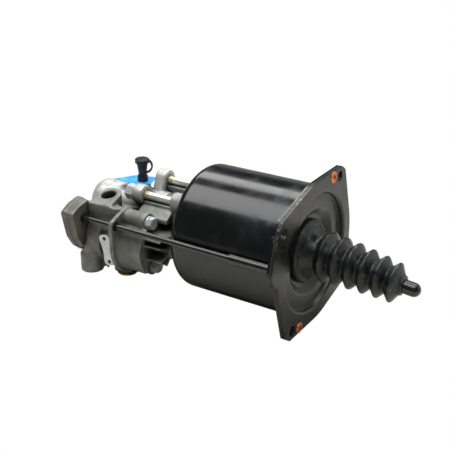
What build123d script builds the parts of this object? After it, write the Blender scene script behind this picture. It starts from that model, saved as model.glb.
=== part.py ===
"""Hydraulic-pneumatic clutch servo of a heavy truck.

The origin is the centre of the mounting hole circle, on the outer face of the front cover.
+X runs along the pushrod, out of the cover. +Z is up, towards the bleed screw.
All sizes are in millimetres. A place given as (y, z) is an axis that runs along X.
"""
from build123d import *
from math import atan2, cos, degrees, radians, sin, tan
import os

os.makedirs("parts", exist_ok=True)

# Clearances
RUNNING_GAP = 0.05
REST_GAP = 0.3
BOLT_GAP = 0.4

# Mounting flange of the cover and the can
COVER_SHEET = 2.5
FRONT_GASKET_SHEET = 0.8
CAN_RADIUS = 57.5
FLANGE_CIRCLE_RADIUS = CAN_RADIUS + 7.5
EAR_TIP_RADIUS = CAN_RADIUS + 21.0
EAR_TIP_HALF_WIDTH = 6.5
EAR_CORNER_RADIUS = 3.5
FIRST_EAR_ANGLE = 36.0
TUBE_LOBE_RADIUS = 12.5
NECK_FILLET = 9.0
MOUNT_CIRCLE_RADIUS = CAN_RADIUS + 12.1
MOUNT_HOLE_RADIUS = 4.6
FIRST_MOUNT_ANGLE = 34.0
RIVET_CIRCLE_RADIUS = CAN_RADIUS + 8.5
RIVET_HOLE_RADIUS = 3.2
FIRST_RIVET_ANGLE = 23.5
RIVET_HEAD_RADIUS = 5.2
RIVET_HEAD_HEIGHT = 1.1
RIVET_BORE_RADIUS = 1.9
RIVET_UPSET_RADIUS = 4.6
RIVET_EDGE = 0.5
RIVET_DOME = 1.6

# Pressed shape of the front cover
RECESS_RADIUS = CAN_RADIUS - 5.1
RECESS_DEPTH = 4.5
DISH_RADIUS = 38.5
DISH_FLOOR_RADIUS = 32.0
DISH_DEPTH = 10.0
COVER_HOLE_RADIUS = 22.0
RECESS_DRAFT = 0.7
PRESS_RADIUS = 3.0
INNER_PRESS_RADIUS = 1.1
SHEET_OVERLAP = 0.5

# Air cylinder can
CAN_WALL = 2.0
CAN_LENGTH = 112.7
CAN_EDGE_RADIUS = 9.0
CAN_GASKET_SHEET = 0.8

# Pushrod and its ball
ROD_TILT = 5.7
BALL_CENTRE_X = -12.0
BALL_RADIUS = 8.0
ROD_RADIUS = 5.0
ROD_NECK_RADIUS = 4.2
ROD_NECK_LENGTH = 14.0
ROD_LENGTH = 104.5
CAP_RADIUS = 6.0
CAP_END_WALL = 2.6
CAP_REACH = 11.44
ROD_SHOULDER = 2.0
RETAINER_START = 4.0
RETAINER_LENGTH = 3.5
RETAINER_RADIUS = 12.5
RETAINER_MOUTH_RADIUS = 6.7
RETAINER_LAND = 0.6

# Rubber boot
BOOT_BASE_RADIUS = 28.5
BOOT_BASE_HEIGHT = 5.0
BOOT_LIP_RADIUS = 24.2
BOOT_LIP_HEIGHT = 2.2
BOOT_WALL = 1.8
BOOT_FIRST_PEAK_X = 11.6
PLEAT_COUNT = 6
FIRST_PEAK_RADIUS = 22.0
LAST_PEAK_RADIUS = 17.2
FIRST_VALLEY_RADIUS = 16.2
LAST_VALLEY_RADIUS = 11.6
PLEAT_CREST = 1.1
BOOT_NECK_RADIUS = 8.2
BOOT_NECK_LENGTH = 2.15
BOOT_EDGE = 1.3
BOOT_SHOULDER_RISE = 1.6
BOOT_SHOULDER_DROP = 2.0
BOOT_CAVITY_MARGIN = 3.6
BOOT_SAG_POWER = 1.35

# Air piston on the plunger
PISTON_RADIUS = CAN_RADIUS - 3.1
PISTON_FRONT_X = -16.0
PISTON_PLATE = 4.0
PISTON_RIM_LENGTH = 15.0
PISTON_RIM_WALL = 3.0
PISTON_HUB_RADIUS = 17.0
PISTON_HUB_FRONT_X = -4.5
PISTON_HUB_REAR_X = -40.0
STOP_RING_INNER = 41.5
STOP_RING_OUTER = 47.0
GROOVE_LAND = 1.5
GUIDE_RING_WIDTH = 5.0
GUIDE_RING_DEPTH = 1.4
LIP_SEAL_WIDTH = 4.5
LIP_SEAL_DEPTH = 2.2
LIP_START = 1.2
LIP_END = 2.2
LIP_DROP = 0.2

# Plunger and its seals
PLUNGER_RADIUS = 11.0
PLUNGER_SPIGOT_RADIUS = 8.0
PLUNGER_SPIGOT_LENGTH = 14.0
PLUNGER_CHAMFER = 1.2
PLUNGER_REAR_X = -150.0
STROKE = 50.0
SEAL_POCKET_RADIUS = 16.0
SEAL_WIDTH = 4.0
GLAND_WIDTH = 3.0

# Preload spring
SPRING_WIRE_RADIUS = 2.0
SPRING_LARGE_RADIUS = 47.5
SPRING_SMALL_RADIUS = 25.0
SPRING_TURNS = 4

# Relay housing, the front casting
RELAY_HOUSING_LENGTH = 55.2
NECK_RADIUS = 20.5
NECK_LENGTH = 39.2
SPIGOT_RADIUS = 24.5
SPIGOT_LENGTH = 8.0
FOOT_THICKNESS = 6.5
FOOT_MARGIN = 0.6
SPIGOT_CHAMFER = 1.0
SPIGOT_SHOULDER = 2.5
RELAY_AXIS = (-38.0, -15.0)
RELAY_RADIUS = 27.0
RELAY_FLANGE = 4.0
RELAY_FLANGE_MARGIN = 4.0
RELAY_BARREL_LENGTH = 27.0
RELAY_BORE_RADIUS = 16.5
RELAY_END_WALL = 12.0
DRUM_ROUND = 2.0
RIB_WALL = 2.0
RIB_LEANS = [-66.0, -108.0, -140.0]
RIB_REACHES = [22.0, 19.0, 15.0]
SADDLE_RADIUS = 17.0
SADDLE_END_RADIUS = 7.0
SCOOP_RADIUS = 11.0
SCOOP_END_RADIUS = 24.0
WEB_EDGE_Y = -58.0
WEB_DEPTH = 42.0
WEB_Z = -1.0
SHELF_SECTION = [(-28.5, 18.0), (-42.0, 9.5), (-42.0, 8.0), (-18.0, 8.0), (-18.0, 18.0)]
SHELF_START = 7.0
SHELF_LENGTH = 34.3
SHELF_CUT_ANGLE = 20.0
RAIL_HALF_WIDTH = 5.0
RAIL_CLEARANCE = 0.5
RAIL_ROOT_Z = 5.0

# Studs and nuts M8, bolts M6
STUD_AXES = [(-22.5, 25.5), (12.0, 30.0), (24.0, -24.0)]
STUD_SHANK_RADIUS = 3.6
STUD_THREAD_RADIUS = 3.95
STUD_HEAD_RADIUS = 7.5
STUD_HEAD_HEIGHT = 3.0
STUD_BOSS_RADIUS = 9.0
STUD_BOSS_LENGTH = 15.5
STUD_THREAD_RUNOUT = 1.5
STUD_COLLAR_START = 2.3
STUD_COLLAR_END = 4.0
LUG_REAR_OFFSETS = [2.5, 1.5, 1.5]
LUG_FRONT_OFFSETS = [8.0, 9.5, 9.5]
LUG_ROOT_SHARE = 0.45
HEX_CROWN_SHARE = 0.95
NUT_FLATS = 13.0
NUT_HEIGHT = 9.0
NUT_STUDS = [0, 2]
STUD_WASHER_RADIUS = 7.4
STUD_WASHER_SHEET = 0.8
BLIND_STUD_SETBACK = 1.0
BOLT_AXES = [(-45.5, 10.5), (-33.5, -38.5)]
BOLT_THREAD_RADIUS = 2.95
BOLT_FLATS = 10.0
BOLT_BOSS_RADIUS = 8.0
BOLT_BOSS_LENGTHS = [27.5, 23.0]
BOLT_COLLAR_LENGTH = 6.0
BOLT_COLLAR_STEP = 0.7
BOLT_HEAD_HEIGHT = 4.4
BOLT_WASHER_RADIUS = 6.3
BOLT_WASHER_SHEET = 1.6
BOLT_REACH = 13.0
SPANNER_ROOM = 1.5

# Servo body, the rear casting
JOINT_GASKET_SHEET = 0.5
BARREL_RADIUS = 21.0
BARREL_LENGTH = 68.5
BARREL_END_ROUND = 13.0
BARREL_END_ROOM = 11.0
VALVE_LENGTH = 33.5
VALVE_RADIUS = 25.0
VALVE_NECK_RADIUS = 20.0
VALVE_DRUM_LENGTH = 15.5
VALVE_BORE_RADIUS = 12.0
JOINT_FACE = 4.0
JOINT_MARGIN = 1.5
BRIDGE_TOP_Z = 8.0
RIDGE_TOP_Z = 21.3
RIDGE_JOINT_Z = 20.0
RIDGE_FACE_Y = -57.0
RIDGE_FACE_FALL = 2.0
RIDGE_BACK_Y = -50.0
CASTING_CORE_Z = -5.0
TOP_PORT = (-196.3, -38.5)
TOP_PORT_Z = 24.6
TOP_PORT_LEAN = 11.0
TOP_PORT_PAD_RADIUS = 12.2
TOP_PORT_PAD_END = (-193.5, -56.0)
TOP_PORT_RADIUS = 7.2
TOP_PORT_DEPTH = 15.0
LOW_PORT = (-204.5, -57.0)
LOW_PORT_Z = -46.0
LOW_PORT_STEP_Z = -28.0
LOW_PORT_OUTER_RADIUS = 10.6
LOW_PORT_NECK_RADIUS = 9.0
LOW_PORT_TOP_Z = -19.0
LOW_PORT_BLEND_RADIUS = 3.0
LOW_PORT_BLEND_HEIGHT = 9.0
LOW_PORT_RADIUS = 6.6
LOW_PORT_DEPTH = 13.0
LOW_PORT_NOTCH = (1.3, 1.6, 4.5)
LOW_PORT_NOTCH_ANGLES = [-118.0, -100.0]
BELLY_Z = -43.0
BELLY_RADIUS = 6.0
PIN_PLACE = (-187.5, -54.5)
PIN_RADIUS = 1.3
PIN_Z = -42.0
EXHAUST = (-184.3, -30.4)
EXHAUST_BOSS_RADIUS = 9.5
EXHAUST_BOSS_Z = -45.6
EXHAUST_BORE_RADIUS = 4.0
BLEED_X = -186.0
BLEED_BOSS_RADIUS = 7.5
BLEED_BOSS_Z = 27.6

# End cover and its screws
END_GASKET_SHEET = 0.5
END_COVER_THICKNESS = 13.5
END_STEP = 6.0
END_INSET = 1.4
END_EDGE_ROUND = 2.0
END_CORNERS = [(-79.3, 15.6), (-68.5, 21.4), (-55.5, 24.2), (-44.5, 15.6), (-26.0, 8.0), (-23.5, -2.0),
               (-23.5, -30.0), (-36.0, -36.0), (-56.0, -29.2), (-66.5, -22.5), (-73.8, -10.5)]
END_CORNER_RADII = [3.5, 10.0, 4.0, 6.0, 4.0, 5.0, 8.0, 10.0, 14.0, 16.0, 20.0]
END_SCREW_AXES = [(-50.5, 14.0), (-55.5, -22.0), (-31.5, -29.0), (-30.5, 1.0)]
END_SCREW_RADIUS = 2.5
END_SCREW_FLATS = 8.0
END_SCREW_HEAD = 4.0
END_SCREW_HOLE = 2.75
END_SCREW_REACH = 9.0
END_SCREW_BOSS = 5.5
SUPPLY_AXIS = (-45.0, -28.5)
SUPPLY_BOSS_RADIUS = 7.5
SUPPLY_BOSS_HEIGHT = 1.5
SUPPLY_CAVITY_DEPTH = 5.0
SUPPLY_BORE_RADIUS = 5.5
PLUG_HEAD_RADIUS = 7.4
PLUG_HEAD_HEIGHT = 6.5
PLUG_GRIP_LENGTH = 9.0

# Relay piston and inlet valve
RELAY_PISTON_THICKNESS = 6.0
RELAY_PISTON_BACKSET = 8.0
RELAY_GROOVE_LAND = 1.8
RELAY_GROOVE_DEPTH = 2.0
RELAY_STEM_RADIUS = 6.0
RELAY_STEM_BORE = 2.5
RELAY_TRAVEL = 3.0
VALVE_LIFT = 1.5
EXHAUST_GAP = RELAY_TRAVEL - VALVE_LIFT + 4 * RUNNING_GAP
SEAT_THICKNESS = 4.0
SEAT_BORE = 7.5
SEAT_DEPTH = 10.5
INLET_DISC_RADIUS = 10.0
INLET_DISC_THICKNESS = 3.5
INLET_STEM_RADIUS = 3.0
GUIDE_THICKNESS = 5.0
VALVE_SPRING_RADIUS = 7.0
VALVE_SPRING_WIRE = 0.7
VALVE_SPRING_TURNS = 3
RELAY_SPRING_RADIUS = 12.0
RELAY_SPRING_WIRE = 0.7
RELAY_SPRING_TURNS = 2

# Breather tube
TUBE_AXIS = (-63.0, 7.5)
TUBE_RADIUS = 2.7
TUBE_BORE = 1.8
TUBE_SOCKET_DEPTH = 6.0
TUBE_LOBE = 7.0
TUBE_SOCKET_ROOM = 2.0
TUBE_HOLE_GAP = 1.3
SLEEVE_RADIUS = 4.1
SLEEVE_LENGTH = 42.0
TUBE_SEAL_WIDTH = 1.8
TUBE_SEAL_RADIUS = 3.7

# Tag plate
TAG_CENTRE = (-181.9, -20.0)
TAG_FACE_Y = -60.6
TAG_LENGTH = 29.8
TAG_WIDTH = 12.0
TAG_CORNER_RADIUS = 4.0
TAG_SIDE_RADIUS = 34.0
TAG_SIDE_DEPTH = 1.1
TAG_RIVET_SPACING = 22.4
TAG_SHEET = 0.8
TAG_LEAN = 12.5
TAG_LAND_MARGIN = 0.6
TAG_LAND_DEPTH = 16.0
TAG_RIVET_RADIUS = 1.1
TAG_RIVET_GRIP = 2.6
TAG_HOLE_DEPTH = 3.0
TAG_RIVET_HEAD = 1.9
TAG_RIVET_DOME = 0.7

# Exhaust vent
VENT_RADIUS = 12.4
VENT_HEIGHT = 9.7
VENT_NECK_RADIUS = 8.5
VENT_NECK_HEIGHT = 1.5
VENT_RING_HEIGHT = 2.4
VENT_RING_WIDTH = 3.9
VENT_FLAP_SHEET = 1.5
VENT_WALL = 4.0
VENT_TAPER = 2.3
VENT_RING_RADIUS = 9.8
VENT_ROOF = 1.5
VENT_SPIGOT_LENGTH = 4.0
VENT_SPIGOT_WALL = 1.5
VENT_RIM_CHAMFER = 0.8

# Bleed screw, its cap and the film under it
BLEED_THREAD_RADIUS = 3.5
BLEED_THREAD_LENGTH = 9.0
BLEED_HEX_FLATS = 7.0
BLEED_HEX_HEIGHT = 5.0
BLEED_NIPPLE_RADIUS = 2.4
BLEED_NIPPLE_HEIGHT = 11.0
CAP_TOP_Z = 50.2
CAP_HEAD_RADIUS = 6.7
CAP_HEAD_HEIGHT = 4.0
CAP_HEAD_EDGE = 0.8
CAP_SHOULDER_RADIUS = 5.2
CAP_WAIST_RADIUS = 3.7
CAP_WAIST_Z = 34.6
CAP_SKIRT_RADIUS = 5.0
CAP_TURN = 33.0
STRAP_REACH = 9.2
STRAP_WIDTH = 3.0
STRAP_SHEET = 1.6
STRAP_TOP_DROP = 1.8
STRAP_FOOT_Z = 36.5
FILM_SHEET = 0.4
FILM_CORNERS = [(-211.7, -9.7), (-186.8, -12.5), (-174.0, -4.0), (-180.0, 14.5), (-200.5, 8.8)]

# Stations along X, worked out from the sizes above
COVER_BACK_X = -COVER_SHEET
GASKET_BACK_X = COVER_BACK_X - FRONT_GASKET_SHEET
CAN_FLANGE_BACK_X = GASKET_BACK_X - CAN_WALL
CAN_REAR_X = GASKET_BACK_X - CAN_LENGTH
CAN_INNER_REAR_X = CAN_REAR_X + CAN_WALL
CAN_INNER_RADIUS = CAN_RADIUS - CAN_WALL
HOUSING_FRONT_X = CAN_REAR_X - CAN_GASKET_SHEET
JOINT_X = HOUSING_FRONT_X - RELAY_HOUSING_LENGTH
BODY_FRONT_X = JOINT_X - JOINT_GASKET_SHEET
BARREL_FRONT_X = HOUSING_FRONT_X - NECK_LENGTH
BARREL_REAR_X = BODY_FRONT_X - BARREL_LENGTH
VALVE_REAR_X = BODY_FRONT_X - VALVE_LENGTH
END_COVER_FRONT_X = VALVE_REAR_X - END_GASKET_SHEET
END_COVER_REAR_X = END_COVER_FRONT_X - END_COVER_THICKNESS
RELAY_BARREL_FRONT_X = JOINT_X + RELAY_FLANGE + RELAY_BARREL_LENGTH
PLUNGER_BORE = PLUNGER_RADIUS + RUNNING_GAP
CAP_START = ROD_LENGTH - CAP_REACH
BOOT_END_X = BALL_CENTRE_X + (CAP_START - REST_GAP) * cos(radians(ROD_TILT))
PLEAT_SPAN = BOOT_END_X - BOOT_NECK_LENGTH - BOOT_FIRST_PEAK_X + PLEAT_CREST / 2
PLEAT_PITCH = PLEAT_SPAN / (PLEAT_COUNT - 0.5)
UP = (Align.CENTER, Align.CENTER, Align.MIN)


def rod_x(x_from, x_to, radius, centre=(0, 0)):
    """Round bar along X between two stations."""
    return Pos(x_from, *centre) * Rot(0, 90, 0) * Cylinder(radius, x_to - x_from, align=UP)


def rod_z(z_from, z_to, radius, centre):
    """Round bar along Z at centre = (x, y)."""
    return Pos(*centre, z_from) * Cylinder(radius, z_to - z_from, align=UP)


def plate_x(x_from, x_to, outline):
    """Outline in the YZ plane, given its thickness along X."""
    return extrude(Plane.YZ.offset(x_from) * outline, x_to - x_from)


def turned(*points):
    """Solid turned about the X axis from (x, radius) points."""
    return revolve(make_face(Polyline(*points, close=True)), axis=Axis.X)


def ring_x(x_from, x_to, outer, inner, centre=(0, 0)):
    """Round ring about an axis along X."""
    return rod_x(x_from, x_to, outer, centre) - rod_x(x_from, x_to, inner, centre)


def hull(*circles):
    """Outline stretched round circles given as (y, z, radius)."""
    edges = [edge for y, z, r in circles for edge in (Pos(y, z) * Circle(r)).edges()]
    return make_hull(edges)


def polar(radius, angle):
    """Place on a circle, with the angle from +Z towards +Y."""
    return radius * sin(radians(angle)), radius * cos(radians(angle))


def quarter_places(radius, first_angle):
    """Four places a quarter turn apart."""
    return [polar(radius, first_angle + 90 * k) for k in range(4)]


def hexagon_x(x_seat, x_top, flats, centre):
    """Hexagonal head or nut along X, with its corners turned off at the top."""
    corner = flats / 2 / cos(radians(30))
    crown = HEX_CROWN_SHARE * flats / 2
    slope = (corner - crown) * tan(radians(30))
    step = slope if x_seat > x_top else -slope
    blank = turned((x_seat, 0), (x_seat, corner), (x_top + step, corner), (x_top, crown), (x_top, 0))
    outline = Pos(*centre) * RegularPolygon(flats / 2, 6, major_radius=False)
    return plate_x(min(x_seat, x_top), max(x_seat, x_top), outline) & Pos(0, *centre) * blank


def coil(x_from, x_to, start_radius, end_radius, wire_radius, turns, centre=(0, 0)):
    """Open coil spring along X, conical where its two radii differ."""
    height = x_to - x_from - 2 * wire_radius
    cone = degrees(atan2(end_radius - start_radius, height))
    path = Helix(height / turns, height, start_radius, (x_from + wire_radius, *centre), (1, 0, 0), cone)
    section = Plane(path @ 0, z_dir=path % 0) * Circle(wire_radius)
    return sweep(section, path, is_frenet=True)


def flange_outline():
    """Round plate with four ears; the left one is widened over the breather tube."""
    outline = Circle(FLANGE_CIRCLE_RADIUS)
    reach = EAR_TIP_RADIUS - EAR_CORNER_RADIUS
    spread = degrees(atan2(EAR_TIP_HALF_WIDTH - EAR_CORNER_RADIUS, reach))
    for k in range(4):
        angle = FIRST_EAR_ANGLE + 90 * k
        corners = [(*polar(reach, angle + side * spread), EAR_CORNER_RADIUS) for side in (-1, 1)]
        outline += hull((0, 0, FLANGE_CIRCLE_RADIUS), *corners)
    lobe = (*TUBE_AXIS, TUBE_LOBE_RADIUS)
    inside = (TUBE_AXIS[0] / 2, TUBE_AXIS[1] + TUBE_LOBE_RADIUS, TUBE_LOBE_RADIUS)
    outline += hull(corners[0], corners[1], lobe, inside)
    notch = outline.vertices().sort_by_distance((TUBE_AXIS[0], TUBE_AXIS[1] - TUBE_LOBE_RADIUS))[0]
    return fillet(notch, NECK_FILLET)


def flange_plate(x_from, x_to, inner_radius):
    """One layer of the eared flange, with its mounting and rivet holes."""
    outline = flange_outline() - Circle(inner_radius)
    for place in quarter_places(MOUNT_CIRCLE_RADIUS, FIRST_MOUNT_ANGLE):
        outline -= Pos(*place) * Circle(MOUNT_HOLE_RADIUS)
    for place in quarter_places(RIVET_CIRCLE_RADIUS, FIRST_RIVET_ANGLE):
        outline -= Pos(*place) * Circle(RIVET_HOLE_RADIUS)
    return plate_x(x_from, x_to, outline)


def pressed_sheet(points, bends, thickness):
    """Round pressing: sheet of one thickness under a bent (x, radius) line."""
    line = FilletPolyline(*points, radius=bends)
    return revolve(make_face(offset(line, amount=thickness, side=Side.RIGHT)), axis=Axis.X)


def front_cover():
    """Pressed front cover: flat eared flange, recess and dish round the boot hole."""
    rim = RECESS_RADIUS + 2 * PRESS_RADIUS
    points = [(0, rim), (0, RECESS_RADIUS + RECESS_DRAFT), (-RECESS_DEPTH, RECESS_RADIUS - RECESS_DRAFT),
              (-RECESS_DEPTH, DISH_RADIUS), (-DISH_DEPTH, DISH_FLOOR_RADIUS),
              (-DISH_DEPTH, COVER_HOLE_RADIUS)]
    bends = [PRESS_RADIUS, INNER_PRESS_RADIUS, PRESS_RADIUS, PRESS_RADIUS]
    pressing = pressed_sheet(points, bends, COVER_SHEET)
    return flange_plate(COVER_BACK_X, 0, rim - SHEET_OVERLAP) + pressing


def front_gasket():
    """Flat gasket between the cover and the can."""
    return flange_plate(GASKET_BACK_X, COVER_BACK_X, CAN_INNER_RADIUS + REST_GAP)


def cylinder_can():
    """Deep-drawn can with a turned-out flange, stud holes and the opening for the casting."""
    opening = SPIGOT_RADIUS + REST_GAP
    rim = RIVET_CIRCLE_RADIUS - RIVET_HOLE_RADIUS - REST_GAP
    points = [(CAN_REAR_X, opening), (CAN_REAR_X, CAN_RADIUS), (CAN_FLANGE_BACK_X, CAN_RADIUS),
              (CAN_FLANGE_BACK_X, rim)]
    can = pressed_sheet(points, [CAN_EDGE_RADIUS, PRESS_RADIUS - CAN_WALL], CAN_WALL)
    can += flange_plate(CAN_FLANGE_BACK_X, GASKET_BACK_X, rim - SHEET_OVERLAP)
    can -= rod_x(CAN_FLANGE_BACK_X, GASKET_BACK_X, TUBE_RADIUS + RUNNING_GAP, TUBE_AXIS)
    for axis in STUD_AXES:
        can -= rod_x(CAN_REAR_X, CAN_INNER_REAR_X, STUD_THREAD_RADIUS + BOLT_GAP, axis)
    return can


def flange_rivets():
    """Two tubular rivets through cover, gasket and can, with domed heads in front."""
    shank = RIVET_HOLE_RADIUS - RUNNING_GAP
    back = CAN_FLANGE_BACK_X - RIVET_HEAD_HEIGHT
    mid_x = 0.5 * RIVET_HEAD_HEIGHT
    rivet = turned((back, RIVET_BORE_RADIUS), (back, RIVET_UPSET_RADIUS - RIVET_EDGE),
                   (back + RIVET_EDGE, RIVET_UPSET_RADIUS), (CAN_FLANGE_BACK_X, RIVET_UPSET_RADIUS),
                   (CAN_FLANGE_BACK_X, shank), (0, shank), (0, RIVET_HEAD_RADIUS),
                   (mid_x, RIVET_HEAD_RADIUS - RIVET_EDGE / 2),
                   (RIVET_HEAD_HEIGHT, RIVET_HEAD_RADIUS - RIVET_DOME),
                   (RIVET_HEAD_HEIGHT, RIVET_BORE_RADIUS + RIVET_EDGE), (mid_x, RIVET_BORE_RADIUS))
    places = quarter_places(RIVET_CIRCLE_RADIUS, FIRST_RIVET_ANGLE)
    return [Pos(0, *places[k]) * rivet for k in (0, 2)]


def on_rod_axis(shape):
    """Carry a shape built along X from the ball centre to the drooping rod axis."""
    return Pos(BALL_CENTRE_X, 0, 0) * Rot(0, ROD_TILT, 0) * shape


def pushrod():
    """Ball-ended rod with a narrower neck behind the ball and a domed tip."""
    stem_x = ROD_NECK_LENGTH + ROD_SHOULDER
    tip = Pos(ROD_LENGTH - ROD_RADIUS, 0, 0) * Sphere(ROD_RADIUS)
    neck = rod_x(0, ROD_NECK_LENGTH, ROD_NECK_RADIUS)
    cone = Cone(ROD_NECK_RADIUS, ROD_RADIUS, ROD_SHOULDER, align=UP)
    shoulder = Pos(ROD_NECK_LENGTH, 0, 0) * Rot(0, 90, 0) * cone
    stem = rod_x(stem_x, ROD_LENGTH - ROD_RADIUS, ROD_RADIUS)
    return on_rod_axis(Sphere(BALL_RADIUS) + neck + shoulder + stem + tip)


def pushrod_cap():
    """Protective cap over the rod's tip, with a domed end and a rolled mouth."""
    dome_x = ROD_LENGTH + CAP_END_WALL - CAP_RADIUS
    body = rod_x(CAP_START, dome_x, CAP_RADIUS) + Pos(dome_x, 0, 0) * Sphere(CAP_RADIUS)
    bore_radius = ROD_RADIUS + RUNNING_GAP
    bore = rod_x(CAP_START, ROD_LENGTH - ROD_RADIUS, bore_radius)
    bore += Pos(ROD_LENGTH - ROD_RADIUS, 0, 0) * Sphere(bore_radius)
    return on_rod_axis(body - bore)


def boot_section(x, radius):
    """Round section of the boot across its sagging centre line."""
    share = max(x, 0) / BOOT_END_X
    drop = (BOOT_END_X - BALL_CENTRE_X) * tan(radians(ROD_TILT))
    tilt = radians(ROD_TILT * share)
    plane = Plane((x, 0, -drop * share ** BOOT_SAG_POWER), (0, 1, 0), (cos(tilt), 0, -sin(tilt)))
    return plane * Circle(radius)


def pleat_profile():
    """Centre line station and outer radius of each crest and valley of the boot."""
    profile = []
    last = PLEAT_COUNT - 1
    for k in range(PLEAT_COUNT):
        peak_x = BOOT_FIRST_PEAK_X + PLEAT_PITCH * k
        peak = FIRST_PEAK_RADIUS + (LAST_PEAK_RADIUS - FIRST_PEAK_RADIUS) * k / last
        valley = FIRST_VALLEY_RADIUS + (LAST_VALLEY_RADIUS - FIRST_VALLEY_RADIUS) * k / last
        profile.append((peak_x - PLEAT_PITCH / 2, valley))
        profile.append((peak_x - PLEAT_CREST / 2, peak))
        profile.append((peak_x + PLEAT_CREST / 2, peak))
    return profile


def boot():
    """Pleated boot with a lip that grips the cover's hole and a neck that grips the rod."""
    base_x = -DISH_DEPTH
    top_x = base_x + BOOT_BASE_HEIGHT
    shoulder = (BOOT_BASE_RADIUS + FIRST_VALLEY_RADIUS) / 2
    pleats = pleat_profile()
    neck_x = BOOT_END_X - BOOT_NECK_LENGTH
    outer = [(base_x, BOOT_BASE_RADIUS), (top_x - BOOT_EDGE, BOOT_BASE_RADIUS),
             (top_x, BOOT_BASE_RADIUS - BOOT_EDGE), (top_x + BOOT_SHOULDER_RISE, shoulder + BOOT_EDGE),
             (0.0, shoulder - BOOT_SHOULDER_DROP), *pleats,
             (neck_x, BOOT_NECK_RADIUS + BOOT_EDGE / 2), (BOOT_END_X, BOOT_NECK_RADIUS)]
    cavity = FIRST_VALLEY_RADIUS + BOOT_CAVITY_MARGIN
    inner = [(base_x, cavity), (0.0, cavity - BOOT_WALL)]
    inner += [(x, radius - BOOT_WALL) for x, radius in pleats]
    inner += [(neck_x - BOOT_EDGE, BOOT_NECK_RADIUS - BOOT_WALL)]
    body = loft(Sketch() + [boot_section(x, radius) for x, radius in outer], ruled=True)
    lip_front = base_x - COVER_SHEET - RUNNING_GAP
    body += ring_x(lip_front, base_x, COVER_HOLE_RADIUS - RUNNING_GAP, cavity)
    body += ring_x(lip_front - BOOT_LIP_HEIGHT, lip_front, BOOT_LIP_RADIUS, cavity)
    body -= loft(Sketch() + [boot_section(x, radius) for x, radius in inner], ruled=True)
    return body - on_rod_axis(rod_x(0, ROD_LENGTH, ROD_RADIUS + RUNNING_GAP))


def air_piston():
    """Turned piston: plate, grooved rim, stop ring and hub with the ball socket."""
    plate_back = PISTON_FRONT_X - PISTON_PLATE
    rim_back = PISTON_FRONT_X - PISTON_RIM_LENGTH
    stop_x = -RECESS_DEPTH - COVER_SHEET - REST_GAP
    piston = rod_x(plate_back, PISTON_FRONT_X, PISTON_RADIUS)
    piston += ring_x(rim_back, PISTON_FRONT_X, PISTON_RADIUS, PISTON_RADIUS - PISTON_RIM_WALL)
    piston += ring_x(plate_back, stop_x, STOP_RING_OUTER, STOP_RING_INNER)
    piston += rod_x(PISTON_HUB_REAR_X, PISTON_HUB_FRONT_X, PISTON_HUB_RADIUS)
    for start, width, depth in piston_grooves():
        piston -= ring_x(start, start + width, PISTON_RADIUS + 1, PISTON_RADIUS - depth)
    piston -= rod_x(PISTON_HUB_REAR_X, PISTON_HUB_REAR_X + PLUNGER_SPIGOT_LENGTH,
                    PLUNGER_SPIGOT_RADIUS + RUNNING_GAP)
    socket = BALL_RADIUS + RUNNING_GAP
    piston -= Pos(BALL_CENTRE_X, 0, 0) * Sphere(socket)
    piston -= rod_x(BALL_CENTRE_X, PISTON_HUB_FRONT_X, socket)
    return piston - rod_x(BALL_CENTRE_X + RETAINER_START, PISTON_HUB_FRONT_X, RETAINER_RADIUS + RUNNING_GAP)


def piston_grooves():
    """Start, width and depth of the lip seal's groove and the guide ring's groove."""
    rim_back = PISTON_FRONT_X - PISTON_RIM_LENGTH
    return [(PISTON_FRONT_X - GROOVE_LAND - LIP_SEAL_WIDTH, LIP_SEAL_WIDTH, LIP_SEAL_DEPTH),
            (rim_back + GROOVE_LAND, GUIDE_RING_WIDTH, GUIDE_RING_DEPTH)]


def piston_lip_seal():
    """Rubber ring with a lip that spreads against the can."""
    start, width, depth = piston_grooves()[0]
    root = PISTON_RADIUS - depth + RUNNING_GAP
    lip = CAN_INNER_RADIUS - RUNNING_GAP
    end = start + width - RUNNING_GAP
    start += RUNNING_GAP
    return turned((start, root), (start, PISTON_RADIUS), (start + LIP_START, lip), (start + LIP_END, lip),
                  (end, PISTON_RADIUS - LIP_DROP), (end, root))


def piston_guide_ring():
    """Plain plastic band that guides the piston in the can."""
    start, width, depth = piston_grooves()[1]
    return ring_x(start + RUNNING_GAP, start + width - RUNNING_GAP, CAN_INNER_RADIUS - 2 * RUNNING_GAP,
                  PISTON_RADIUS - depth + RUNNING_GAP)


def ball_retainer():
    """Ring pressed into the hub, with a conical mouth that holds the ball."""
    start = BALL_CENTRE_X + RETAINER_START
    end = start + RETAINER_LENGTH
    grip = RETAINER_MOUTH_RADIUS + RETAINER_LAND
    ring = turned((start, grip), (start, RETAINER_RADIUS), (end, RETAINER_RADIUS),
                  (end, RETAINER_MOUTH_RADIUS))
    return ring - Pos(BALL_CENTRE_X, 0, 0) * Sphere(BALL_RADIUS + RUNNING_GAP)


def hydraulic_plunger():
    """Ground plunger with the spigot that carries the air piston."""
    body = rod_x(PLUNGER_REAR_X, PISTON_HUB_REAR_X, PLUNGER_RADIUS)
    body = chamfer(body.edges().sort_by(Axis.X)[0], PLUNGER_CHAMFER)
    spigot_end = PISTON_HUB_REAR_X + PLUNGER_SPIGOT_LENGTH - REST_GAP
    return body + rod_x(PISTON_HUB_REAR_X, spigot_end, PLUNGER_SPIGOT_RADIUS)


def plunger_seals():
    """Two seal rings side by side in the casting's pocket."""
    front = HOUSING_FRONT_X + SPIGOT_LENGTH - GLAND_WIDTH
    starts = [front - SEAL_WIDTH, front - 2 * SEAL_WIDTH - REST_GAP]
    return [ring_x(start, start + SEAL_WIDTH, SEAL_POCKET_RADIUS - RUNNING_GAP, PLUNGER_BORE)
            for start in starts]


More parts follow.
